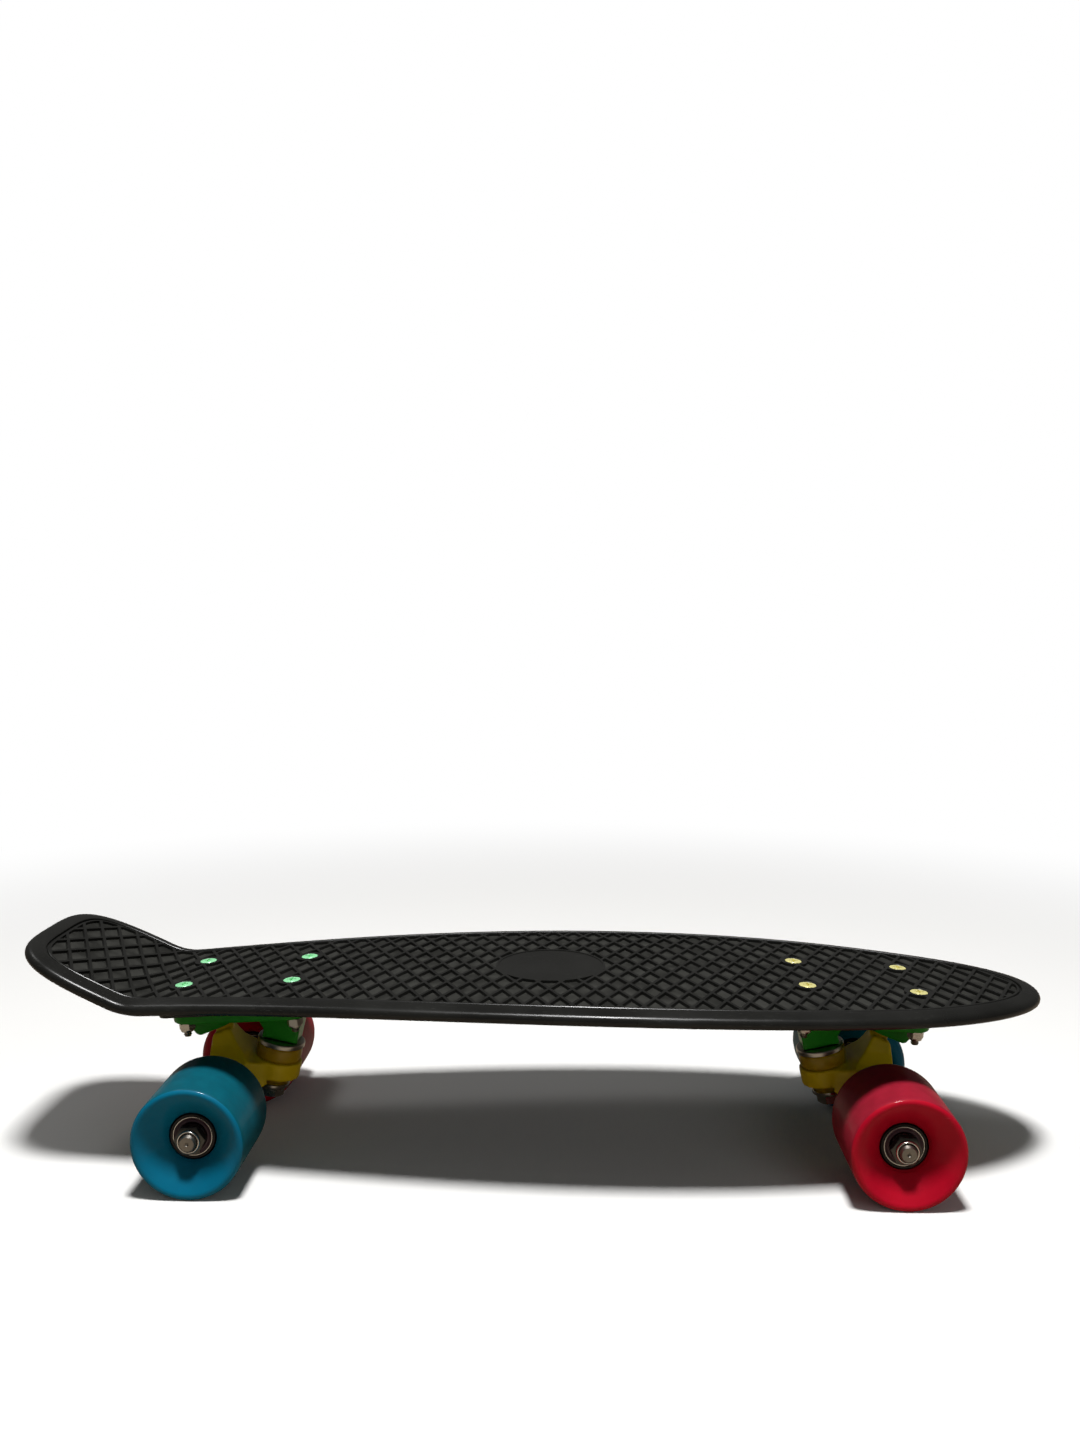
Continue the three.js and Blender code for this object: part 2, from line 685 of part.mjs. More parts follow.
function pivotCup() {
  const inner = pivotRadius + seatGap;
  const floor = -pivotRadius - seatGap;
  return turned(closed([
    [0, floor - pivotCupFloor], [pivotCupRadius, floor - pivotCupFloor], [pivotCupRadius, pivotCupDepth],
    [inner, pivotCupDepth], [inner, 0], [inner * Math.SQRT1_2, floor * Math.SQRT1_2], [0, floor],
  ]));
}

function hangerBeam() {
  const end = hangerWidth / 2;
  const body = hangerBodyWidth / 2;
  const shoulder = body - hangerBossRadius;
  return spun([
    [0, -end], [hangerEndRadius, -end], [hangerEndRadius, -body], [hangerBossRadius, -shoulder],
    [hangerBossRadius, shoulder], [hangerEndRadius, body], [hangerEndRadius, end], [0, end],
  ], roundSides);
}

function hanger() {
  const side = hangerSideShares.map(([out, down]) => new THREE.Vector2(out * axleDrop, -down * axleDrop));
  const right = hangerFrontShares.map(([out, down]) =>
    new THREE.Vector2(-out * hangerBodyWidth / 2, -down * axleDrop));
  const left = right.map(({ x, y }) => new THREE.Vector2(-x, y)).reverse();
  const front = [...right, ...left];
  const plan = hangerPlanShares.map(([out, across]) =>
    new THREE.Vector2(out * axleDrop, across * hangerBodyWidth / 2));
  const far = plan.map(({ x, y }) => new THREE.Vector2(x, -y)).reverse();
  const web = plateAcross(side, hangerBodyWidth)
    .intersect(plateAlong(front, -axleDrop, axleDrop))
    .intersect(plateUp([...plan, ...far], -2 * axleDrop, 0));
  const beam = hangerBeam().translate([axleReach, 0, -axleDrop]);
  const room = seatGap + cupThickness;
  const boardRoom = rod(cupRadius + room, ringTop, housingFace + ringThickness);
  const roadRoom = rod(roadBushingRadius + room, kingpinNutTop - 2 * kingpinNutHeight, -ringTop);
  const cupRoom = rod(pivotCupRadius + room, -pivotLength, pivotCupDepth + seatGap);
  const ring = rod(ringRadius, -ringTop, ringTop, ringSides);
  const bore = rod(ringBoreRadius, -ringTop - cutOverrun, ringTop + cutOverrun);
  const stem = turned([
    [0, -pivotRadius], [pivotRadius * Math.SQRT1_2, -pivotRadius * Math.SQRT1_2], [pivotRadius, 0],
    [pivotRadius, pivotCupDepth], [pivotRootRadius, pivotLength], [0, pivotLength],
  ]);
  const cored = cut(web, placed(join(boardRoom, roadRoom), kingpinFrame), placed(cupRoom, pivotFrame));
  const whole = join(cored, beam, placed(ring, kingpinFrame), placed(stem, pivotFrame));
  const passage = axleRadius + seatGap;
  const axleBore = spun([
    [0, -hangerWidth], [passage, -hangerWidth], [passage, hangerWidth], [0, hangerWidth],
  ], axleSides).translate([axleReach, 0, -axleDrop]);
  return cut(whole, placed(bore, kingpinFrame), axleBore);
}

function axle() {
  const end = axleNutEnd + axleTail;
  return spun([
    [0, -end], [axleRadius - axleChamfer, -end], [axleRadius, axleChamfer - end],
    [axleRadius, end - axleChamfer], [axleRadius - axleChamfer, end], [0, end],
  ], axleSides).translate([axleReach, 0, -axleDrop]);
}

// Wheel pieces, on the +Y side of a level axle whose middle is the origin

const sleeveStart = hangerWidth / 2 + seatGap;
const innerBearing = sleeveStart + speedRingThickness;
const outerBearing = innerBearing + bearingWidth + bearingSpacing;
const sleeveEnd = outerBearing + bearingWidth + speedRingThickness;
const wheelOuterFace = outerBearing + bearingWidth + wheelFaceSink;
const axleNutStart = sleeveEnd + seatGap;
const axleNutEnd = axleNutStart + axleNutHeight + axleNutCollarHeight;

function wheel() {
  const seat = bearingRadius + seatGap;
  const full = wheelRadius / Math.cos(Math.PI / wheelSides);
  const low = wheelOuterFace - wheelWidth;
  return spun(closed([
    [hubShoulderRadius, innerBearing + bearingWidth + seatGap],
    [seat, innerBearing + bearingWidth + seatGap],
    [seat, innerBearing],
    ...wheelShares.map(([out, along]) => [out * full, low + along * wheelWidth]),
    [seat, outerBearing + bearingWidth],
    [seat, outerBearing - seatGap],
    [hubShoulderRadius, outerBearing - seatGap],
  ]), wheelSides);
}

// One bearing's outer race and shield, with the shield's recess on the side that the sign says.
function bearing(start, side) {
  const [low, high] = [start, start + bearingWidth];
  const [face, back] = side > 0 ? [high, low] : [low, high];
  return spun(closed([
    [bearingBore, back], [bearingRadius, back], [bearingRadius, face], [shieldRadius, face],
    [shieldRadius, face - side * shieldSink], [bearingBore, face - side * shieldSink],
  ]), bearingSides);
}

function bearingSleeve() {
  const bore = axleRadius + seatGap;
  const race = speedRingThickness + bearingWidth;
  return spun(closed([
    [bore, sleeveStart], [raceRadius, sleeveStart], [raceRadius, sleeveStart + race],
    [spacerRadius, sleeveStart + race], [spacerRadius, sleeveEnd - race], [raceRadius, sleeveEnd - race],
    [raceRadius, sleeveEnd], [bore, sleeveEnd],
  ]), sleeveSides);
}

function axleNut() {
  const shoulder = axleNutStart + axleNutHeight;
  const nut = hexRod(axleNutAcrossFlats, axleNutStart, shoulder);
  const collar = rod(axleNutCollarRadius, shoulder - cutOverrun, axleNutEnd, axleSides);
  const bore = rod(axleRadius + seatGap, axleNutStart - cutOverrun, axleNutEnd + cutOverrun, axleSides);
  return placed(cut(join(nut, collar), bore), new THREE.Matrix4().makeRotationX(-Math.PI / 2));
}

// Assembly

function wheelSet(name, side, wheelFinish) {
  const group = new THREE.Group();
  group.rotation.z = side > 0 ? 0 : Math.PI;
  group.add(
    piece(`${name}_wheel`, wheel(), wheelFinish),
    piece(`${name}_outer_bearing`, bearing(outerBearing, 1), finishes.shield),
    piece(`${name}_inner_bearing`, bearing(innerBearing, -1), finishes.shield),
    piece(`${name}_bearing_sleeve`, bearingSleeve(), finishes.steel),
    piece(`${name}_axle_nut`, axleNut(), finishes.steel),
  );
  return group;
}

function truck(name, end, boltFinish, leftFinish, rightFinish) {
  const group = new THREE.Group();
  truckFace(end).decompose(group.position, group.quaternion, group.scale);
  boltPlaces.forEach(({ x, y }, i) => {
    const bolt = piece(`${name}_deck_bolt_${i + 1}`, deckBolt(x), boltFinish);
    const nut = piece(`${name}_lock_nut_${i + 1}`, lockNut(), finishes.steel);
    bolt.position.set(x, y, 0);
    nut.position.set(x, y, 0);
    group.add(bolt, nut);
  });
  const stack = new THREE.Group();
  kingpinFrame.decompose(stack.position, stack.quaternion, stack.scale);
  stack.add(
    piece(`${name}_kingpin`, kingpin(), finishes.steel),
    piece(`${name}_cup_washer`, cupWasher(cupRadius, cupFloor, cupThickness, cupLip), finishes.steel),
    piece(`${name}_board_bushing`, boardBushing(), finishes.bushing),
    piece(`${name}_road_bushing`, roadBushing(), finishes.bushing),
    piece(`${name}_road_washer`,
      cupWasher(roadWasherRadius, roadWasherTop, -cupThickness, -roadWasherLip), finishes.steel),
    piece(`${name}_kingpin_nut`, kingpinNut(), finishes.steel),
  );
  const cup = piece(`${name}_pivot_cup`, pivotCup(), finishes.cup);
  pivotFrame.decompose(cup.position, cup.quaternion, cup.scale);
  const axleSet = new THREE.Group();
  axleSet.position.copy(axlePlace);
  axleSet.quaternion.copy(group.quaternion).invert();
  axleSet.add(
    wheelSet(`${name}_left`, 1, leftFinish),
    wheelSet(`${name}_right`, -1, rightFinish),
  );
  group.add(
    piece(`${name}_baseplate`, baseplate(), finishes.baseplate),
    stack,
    cup,
    piece(`${name}_hanger`, hanger(), finishes.hanger),
    piece(`${name}_axle`, axle(), finishes.steel),
    axleSet,
  );
  return group;
}

const board = new THREE.Group();
board.position.set(-(noseTip + tailTip) / 2, 0, crestHeight);
board.add(
  piece('deck', deckSolid(), finishes.deck),
  truck('front', 1, finishes.yellowBolt, finishes.blueWheel, finishes.redWheel),
  truck('rear', -1, finishes.greenBolt, finishes.redWheel, finishes.blueWheel),
);

export default board;
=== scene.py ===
"""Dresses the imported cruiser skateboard: a moulded deck, two sprung trucks and four soft wheels.

Sizes are in millimetres unless a name says otherwise, and meshes are written in metres. The deck is drawn
flat, as a length along its top face, a distance across it and a height above it, and is then bent to its
side view. Each truck is drawn once in a frame whose X points away from the middle of the board and whose
Z = 0 is the face that it bolts to.
"""
import logging
import math
from dataclasses import dataclass, field
from enum import Enum
from functools import cache
from typing import Iterable, Sequence

import bmesh
import bpy
from bpy.types import Curve, Material, Mesh, Node, NodeSocket, NodeTree, Object
from mathutils import Matrix, Quaternion, Vector


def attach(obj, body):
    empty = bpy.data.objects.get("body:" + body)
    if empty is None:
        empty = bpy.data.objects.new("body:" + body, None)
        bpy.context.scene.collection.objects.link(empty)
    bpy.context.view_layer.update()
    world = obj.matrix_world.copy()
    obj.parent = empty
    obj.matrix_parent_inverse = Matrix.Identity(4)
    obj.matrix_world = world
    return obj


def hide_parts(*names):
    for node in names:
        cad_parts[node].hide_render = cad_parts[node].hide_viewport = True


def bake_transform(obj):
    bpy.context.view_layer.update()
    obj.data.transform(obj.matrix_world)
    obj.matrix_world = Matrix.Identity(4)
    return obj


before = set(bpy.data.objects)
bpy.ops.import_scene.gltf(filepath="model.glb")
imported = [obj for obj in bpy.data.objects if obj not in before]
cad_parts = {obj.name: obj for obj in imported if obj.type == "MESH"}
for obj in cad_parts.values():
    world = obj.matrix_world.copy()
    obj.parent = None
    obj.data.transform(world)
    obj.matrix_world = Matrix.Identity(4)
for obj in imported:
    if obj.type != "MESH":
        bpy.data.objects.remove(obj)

LOG = logging.getLogger("skateboard")
# Marks faces for two colours of their own: dust and scuffs on the deck, road wear with painted shade on the
# wheels' treads.
SCUFF_AND_SHADE_LAYER = "scuffed"
MM = 0.001
UP = Vector((0, 0, 1))
ACROSS = Vector((0, 1, 0))
WHITE = (1, 1, 1, 1)
SPIN_PATH = 1e-3
COAT_ROUGHNESS = 0.12
SUBSURFACE_REACH = (0.004, 0.002, 0.001)
SCUFF_AND_SHADE_FINENESS = 4

Colour = tuple[float, float, float]
Point2 = tuple[float, float]
Profile = Sequence[Point2]


class Sign(Enum):
    """A direction that is told by the sign of a coordinate."""

    @property
    def word(self) -> str:
        """The word that the names of the pieces on that hand hold."""
        return self.name.lower()


class End(Sign):
    """The two ends of the board, by the sign of their X."""

    FRONT = 1
    REAR = -1


class Side(Sign):
    """The two sides of the board, by the sign of their Y."""

    LEFT = 1
    RIGHT = -1


class Merge(Enum):
    """How one solid is put together with another."""

    ADD = "UNION"
    CUT = "DIFFERENCE"
    KEEP_SHARED = "INTERSECT"


class Plane(Enum):
    """The plane that an outline is drawn in: the axes of its two numbers, and of its depth."""

    PLAN = (0, 1, 2)
    SIDE = (0, 2, 1)
    FRONT = (1, 2, 0)


# Meshes


def new_object(name: str, mesh: Mesh) -> Object:
    """Puts a mesh into the scene.

    Args:
        name: the piece's name.
        mesh: its mesh, in place in the row frame.

    Returns:
        The new object, at the origin.
    """
    made = bpy.data.objects.new(name, mesh)
    bpy.context.scene.collection.objects.link(made)
    return made


def mesh_of(points: Iterable[Sequence[float]], faces: Iterable[Sequence[int]]) -> Mesh:
    """Makes a mesh, in the units of its points, with its faces turned outwards.

    Args:
        points: its corners.
        faces: its faces, as indices of corners.

    Returns:
        The closed mesh.
    """
    mesh = bpy.data.meshes.new("shape")
    mesh.from_pydata([tuple(point) for point in points], [], [tuple(face) for face in faces])
    tidy_mesh(mesh)
    return mesh


def tidy_mesh(mesh: Mesh, merge: float = 1e-6) -> None:
    """Merges doubled corners of a closed mesh and turns its faces outwards.

    Args:
        mesh: the mesh to mend in place.
        merge: corners closer than this become one.
    """
    work = bmesh.new()
    work.from_mesh(mesh)
    bmesh.ops.remove_doubles(work, verts=work.verts, dist=merge)
    bmesh.ops.recalc_face_normals(work, faces=work.faces)
    if work.calc_volume(signed=True) < 0:
        bmesh.ops.reverse_faces(work, faces=work.faces)
    work.to_mesh(mesh)
    work.free()


def evaluated_mesh(source: Object) -> Mesh:
    """The mesh that an object's modifiers give. The object and its own mesh are removed.

    Args:
        source: an object with live modifiers.

    Returns:
        A new mesh with nothing live on it.
    """
    graph = bpy.context.evaluated_depsgraph_get()
    result = bpy.data.meshes.new_from_object(source.evaluated_get(graph))
    drop(source)
    return result


def drop(source: Object) -> None:
    """Removes a helper object and its mesh."""
    data = source.data
    bpy.data.objects.remove(source)
    if isinstance(data, Mesh):
        bpy.data.meshes.remove(data)
    elif isinstance(data, Curve):
        bpy.data.curves.remove(data)


def merged(base: Mesh, how: Merge, *tools: Mesh) -> Mesh:
    """Joins, cuts or intersects a closed mesh with others, one after the other.

    Args:
        base: the mesh to start from. It is used up.
        how: what each tool does to it.
        tools: closed meshes. They are used up.

    Returns:
        The resulting mesh.
    """
    body = new_object("merge_body", base)
    helpers = []
    for tool in tools:
        helper = new_object("merge_tool", tool)
        helpers.append(helper)
        modifier = body.modifiers.new("merge", "BOOLEAN")
        modifier.operation = how.value
        modifier.solver = "MANIFOLD"
        modifier.object = helper
    result = evaluated_mesh(body)
    for helper in helpers:
        drop(helper)
    return result


def transformed(mesh: Mesh, matrix: Matrix) -> Mesh:
    """Moves a mesh in place and gives it back."""
    mesh.transform(matrix)
    return mesh


def shifted(mesh: Mesh, x: float, y: float = 0) -> Mesh:
    """Moves a mesh level with the ground and gives it back."""
    return transformed(mesh, Matrix.Translation((x, y, 0)))


def shade(mesh: Mesh, crease: float = 40) -> Mesh:
    """Shades a mesh smooth, but for edges that turn by more than some degrees.

    Args:
        mesh: the mesh to shade.
        crease: the angle of a sharp edge, in degrees.

    Returns:
        The same mesh.
    """
    mesh.shade_smooth()
    mesh.set_sharp_from_angle(angle=math.radians(crease))
    return mesh


def ring_solid(rings: Sequence[Sequence[Sequence[float]]]) -> Mesh:
    """Skins a solid over rings of equally many points, with a flat cap at each end.

    Args:
        rings: the rings, from one end to the other.

    Returns:
        The closed mesh.
    """
    count = len(rings[0])
    points = [point for ring in rings for point in ring]
    faces: list[Sequence[int]] = [range(count), range(len(points) - 1, len(points) - count - 1, -1)]
    for layer in range(len(rings) - 1):
        for i in range(count):
            low, high = layer * count, (layer + 1) * count
            after = (i + 1) % count
            faces.append((low + i, low + after, high + after, high + i))
    return mesh_of(points, faces)


def block(low: Sequence[float], high: Sequence[float]) -> Mesh:
    """A box between two corners."""
    rings = [
        [(x, y, z) for x, y in ((low[0], low[1]), (high[0], low[1]), (high[0], high[1]), (low[0], high[1]))]
        for z in (low[2], high[2])
    ]
    return ring_solid(rings)


def rounded_outline(length: float, width: float, corner: float, steps: int = 6) -> list[Point2]:
    """The outline of a rectangle with round corners, about the origin.

    Args:
        length: its size along X.
        width: its size along Y.
        corner: the radius of its corners.
        steps: how many points round each corner, less one.

    Returns:
        Its points, anticlockwise.
    """
    centres = [(1, 1), (-1, 1), (-1, -1), (1, -1)]
    points = []
    for quarter, (along, across) in enumerate(centres):
        for i in range(steps + 1):
            angle = (quarter + i / steps) * math.pi / 2
            points.append((
                along * (length / 2 - corner) + corner * math.cos(angle),
                across * (width / 2 - corner) + corner * math.sin(angle),
            ))
    return points


def rod(radius: float, low: float, high: float, sides: int = 48) -> Mesh:
    """A plain round rod about Z."""
    return tapered_rod(radius, radius, low, high, sides)


def tapered_rod(
        low_radius: float, high_radius: float, low: float, high: float, sides: int = 48) -> Mesh:
    """A round rod about Z whose two ends may differ in radius."""
    rings = []
    for radius, height in ((low_radius, low), (high_radius, high)):
        rings.append([
            (radius * math.cos(math.tau * i / sides), radius * math.sin(math.tau * i / sides), height)
            for i in range(sides)
        ])
    return ring_solid(rings)


def arc(middle: Point2, radii: Point2, start: float, end: float, steps: int = 8) -> list[Point2]:
    """Points on an ellipse.

    Args:
        middle: its middle.
        radii: its two half lengths.
        start: the angle of the first point, in degrees.
        end: the angle of the last.
        steps: how many steps are between them.

    Returns:
        The points, both ends included.
    """
    angles = [math.radians(start + (end - start) * i / steps) for i in range(steps + 1)]
    return [(middle[0] + radii[0] * math.cos(a), middle[1] + radii[1] * math.sin(a)) for a in angles]


def smooth_loop(points: Profile, steps: int = 5) -> list[Point2]:
    """Runs a smooth closed line through some points.

    Args:
        points: the points, in order.
        steps: how many points each stretch between two of them gets.

    Returns:
        The points of the smooth line.
    """
    made = []
    count = len(points)
    for i in range(count):
        before, start, end, after = (Vector(points[(i + shift) % count]) for shift in (-1, 0, 1, 2))
        for step in range(steps):
            t = step / steps
            at = (
                2 * start + (end - before) * t + (2 * before - 5 * start + 4 * end - after) * t ** 2
                + (3 * start - before - 3 * end + after) * t ** 3) / 2
            made.append((at.x, at.y))
    return made


def prism(plane: Plane, outline: Profile, low: float, high: float) -> Mesh:
    """A solid with the same outline all along.

    Args:
        plane: the plane that the outline is drawn in.
        outline: its points.
        low: where it starts, square to that plane.
        high: where it ends.

    Returns:
        The closed mesh.
    """
    first, second, deep = plane.value
    rings = []
    for depth in (low, high):
        ring = []
        for a, b in outline:
            point = [0.0, 0.0, 0.0]
            point[first], point[second], point[deep] = a, b, depth
            ring.append(point)
        rings.append(ring)
    return ring_solid(rings)


def cast_skin(solid: Mesh, voxel: float, passes: int) -> Mesh:
    """Rounds a solid's edges and fills its corners as a casting's are.

    Args:
        solid: the closed mesh. It is used up.
        voxel: how fine the new skin is.
        passes: how often it is smoothed.

    Returns:
        The new mesh.
    """
    body = new_object("cast_body", solid)
    skin = body.modifiers.new("skin", "REMESH")
    skin.mode = "VOXEL"
    skin.voxel_size = voxel
    smooth = body.modifiers.new("smooth", "SMOOTH")
    smooth.factor = 0.5
    smooth.iterations = passes
    return evaluated_mesh(body)


# Trees of nodes


def wire(tree: NodeTree, node: Node, **inputs: object) -> Node:
    """Fills a node's inputs.

    Args:
        tree: the tree that the node is in.
        node: the node.
        inputs: what each named input gets: a socket to link from, or a value. An underscore in a name
            stands for a space, and a name such as _1 is the input of that number.

    Returns:
        The same node.
    """
    for name, value in inputs.items():
        socket = node.inputs[int(name[1:]) if name[0] == "_" else name.replace("_", " ")]
        if isinstance(value, NodeSocket):
            tree.links.new(value, socket)
        else:
            socket.default_value = value
    return node


def add_node(
        tree: NodeTree, kind: str, settings: dict[str, str] | None = None,
        **inputs: object) -> Node:
    """Adds a node.

    Args:
        tree: the tree that it goes into.
        kind: its type.
        settings: what its own options are set to, before its inputs.
        inputs: what its inputs get, as in wire.

    Returns:
        The new node.
    """
    made = tree.nodes.new(kind)
    for name, value in (settings or {}).items():
        setattr(made, name, value)
    return wire(tree, made, **inputs)


def add_math(
        tree: NodeTree, operation: str, first: object, second: object = 0.0) -> NodeSocket:
    """Adds a sum of two numbers and gives its result."""
    return add_node(tree, "ShaderNodeMath", {"operation": operation}, _0=first, _1=second).outputs[0]


class Tree:
    """A geometry node tree being built, with named inputs for its sizes and its finish."""

    def __init__(self, name: str, sizes: dict[str, str]) -> None:
        """Starts an empty tree.

        Args:
            name: the tree's name.
            sizes: its named inputs, each with the kind of its socket.
        """
        self.tree = bpy.data.node_groups.new(name, "GeometryNodeTree")
        sockets = [("Geometry", "INPUT", "Geometry"), ("Geometry", "OUTPUT", "Geometry")]
        sockets += [(label, "INPUT", kind) for label, kind in {**sizes, "Finish": "Material"}.items()]
        for label, way, kind in sockets:
            self.tree.interface.new_socket(label, in_out=way, socket_type=f"NodeSocket{kind}")
        self.start = self.tree.nodes.new("NodeGroupInput")

    def node(self, kind: str, **inputs: object) -> Node:
        """Adds a node, whose inputs are given as in wire."""
        return add_node(self.tree, kind, **inputs)

    def math(self, operation: str, first: object, second: object = 0.0) -> NodeSocket:
        """Adds a sum of two numbers and gives its result."""
        return add_math(self.tree, operation, first, second)

    def finish(self, geometry: NodeSocket) -> NodeTree:
        """Ends the tree: instances become real, and the finish is set.

        Args:
            geometry: what the tree has made.

        Returns:
            The finished tree.
        """
        real = self.node("GeometryNodeRealizeInstances", Geometry=geometry)
        dressed = self.node(
            "GeometryNodeSetMaterial", Geometry=real.outputs[0], Material=self.start.outputs["Finish"])
        self.node("NodeGroupOutput", _0=dressed.outputs[0])
        return self.tree


def grown(base: Object, tree: NodeTree, values: dict[str, object]) -> Mesh:
    """The mesh that a tree makes from an object. The object is used up.

    Args:
        base: the object that carries the tree.
        tree: a tree with named inputs.
        values: what each named input gets.

    Returns:
        A plain mesh.
    """
    modifier = base.modifiers.new("grow", "NODES")
    modifier.node_group = tree
    for item in tree.interface.items_tree:
        if item.item_type == "SOCKET" and item.in_out == "INPUT" and item.name in values:
            modifier[item.identifier] = values[item.name]
    return evaluated_mesh(base)


def empty_base() -> Object:
    """An object with an empty mesh, for a tree that makes all of its geometry."""
    return new_object("grow_base", bpy.data.meshes.new("grow_base"))


class Trees:
    """The geometry node trees that the board's pieces share, each built when it is first used."""

    @staticmethod
    @cache
    def spin() -> NodeTree:
        """Turns a closed profile about the Z axis."""
        tree = Tree("Spin profile", {"Profile": "Object", "Sides": "Int"})
        profile = tree.node("GeometryNodeObjectInfo", Object=tree.start.outputs["Profile"])
        path = tree.node(
            "GeometryNodeCurvePrimitiveCircle", Resolution=tree.start.outputs["Sides"], Radius=SPIN_PATH)
        sweep = tree.node(
            "GeometryNodeCurveToMesh", Curve=path.outputs[0], Profile_Curve=profile.outputs["Geometry"])
        return tree.finish(sweep.outputs[0])

    @staticmethod
    @cache
    def lattice() -> NodeTree:
        """Sets out tapered diamond plugs in staggered rows."""
        lengths = ("Pitch along", "Pitch across", "Plug along", "Plug across", "Height", "Taper")
        tree = Tree("Diamond lattice", {
            **{name: "Float" for name in lengths}, "Columns": "Int", "Rows": "Int", "Middle": "Vector"})
        inputs = tree.start.outputs
        half_row = tree.math("DIVIDE", inputs["Pitch across"], 2)
        length = tree.math("MULTIPLY", inputs["Pitch along"], tree.math("SUBTRACT", inputs["Columns"], 1))
        width = tree.math("MULTIPLY", half_row, tree.math("SUBTRACT", inputs["Rows"], 1))
        grid = tree.node(
            "GeometryNodeMeshGrid", Size_X=length, Size_Y=width, Vertices_X=inputs["Columns"],
            Vertices_Y=inputs["Rows"])
        place = tree.node("ShaderNodeSeparateXYZ", Vector=tree.node("GeometryNodeInputPosition").outputs[0])
        from_edge = tree.math("ADD", place.outputs["Y"], tree.math("DIVIDE", width, 2))
        row = tree.math("ROUND", tree.math("DIVIDE", from_edge, half_row))
        odd = tree.math("FLOORED_MODULO", row, 2)
        stagger = tree.math("MULTIPLY", odd, tree.math("DIVIDE", inputs["Pitch along"], 2))
        shift = tree.node("ShaderNodeCombineXYZ", X=stagger)
        rows = tree.node("GeometryNodeSetPosition", Geometry=grid.outputs[0], Offset=shift.outputs[0])
        centred = tree.node("GeometryNodeTransform", Geometry=rows.outputs[0], Translation=inputs["Middle"])
        plug = tree.node(
            "GeometryNodeMeshCone", Vertices=4, Radius_Top=1.0, Radius_Bottom=inputs["Taper"],
            Depth=inputs["Height"])
        scale = tree.node("ShaderNodeCombineXYZ", X=inputs["Plug along"], Y=inputs["Plug across"], Z=1.0)
        sized = tree.node("GeometryNodeTransform", Geometry=plug.outputs[0], Scale=scale.outputs[0])
        set_out = tree.node(
            "GeometryNodeInstanceOnPoints", Points=centred.outputs[0], Instance=sized.outputs[0])
        return tree.finish(set_out.outputs[0])

    @staticmethod
    @cache
    def pattern() -> NodeTree:
        """Sets out copies of one piece on the corners of a mesh of places."""
        tree = Tree("Fastener pattern", {"Piece": "Object"})
        piece = tree.node("GeometryNodeObjectInfo", Object=tree.start.outputs["Piece"])
        points = tree.node("GeometryNodeMeshToPoints", Mesh=tree.start.outputs["Geometry"])
        set_out = tree.node(
            "GeometryNodeInstanceOnPoints", Points=points.outputs[0], Instance=piece.outputs["Geometry"])
        return tree.finish(set_out.outputs[0])


def spun(profile: Profile, sides: int, finish: Material | None = None) -> Mesh:
    """Turns a profile of (radius, height) points about Z, by geometry nodes.

    Args:
        profile: the points. A profile that starts and ends on the axis is a solid one; any other is a ring.
        sides: how many sides the round has.
        finish: what the mesh is dressed in.

    Returns:
        The closed mesh.
    """
    curve = bpy.data.curves.new("profile", "CURVE")
    curve.dimensions = "2D"
    curve.fill_mode = "NONE"
    line = curve.splines.new("POLY")
    line.points.add(len(profile) - 1)
    on_axis = profile[0][0] == 0
    for point, (radius, height) in zip(line.points, profile):
        point.co = (radius - SPIN_PATH, -height, 0, 1)
    line.use_cyclic_u = not on_axis
    outline = bpy.data.objects.new("profile", curve)
    bpy.context.scene.collection.objects.link(outline)
    mesh = grown(empty_base(), Trees.spin(), {"Profile": outline, "Sides": sides, "Finish": finish})
    drop(outline)
    tidy_mesh(mesh, 1e-4)
    return mesh


# Finishes


def mixed(tree: NodeTree, kind: str, mask: object, first: object, second: object) -> object:
    """Mixes two colours or numbers by a mask.

    Args:
        tree: the tree that the mix goes into.
        kind: RGBA for colours, FLOAT for numbers.
        mask: the socket of the mask.
        first: what shows where the mask is 0, as a socket or a value.
        second: what shows where it is 1.

    Returns:
        The result's socket.
    """
    first, second = ((*value, 1) if isinstance(value, tuple) else value for value in (first, second))
    settings = {"data_type": kind}
    if kind == "RGBA":
        return add_node(tree, "ShaderNodeMix", settings, _0=mask, _6=first, _7=second).outputs[2]
    return add_node(tree, "ShaderNodeMix", settings, _0=mask, _2=first, _3=second).outputs[0]


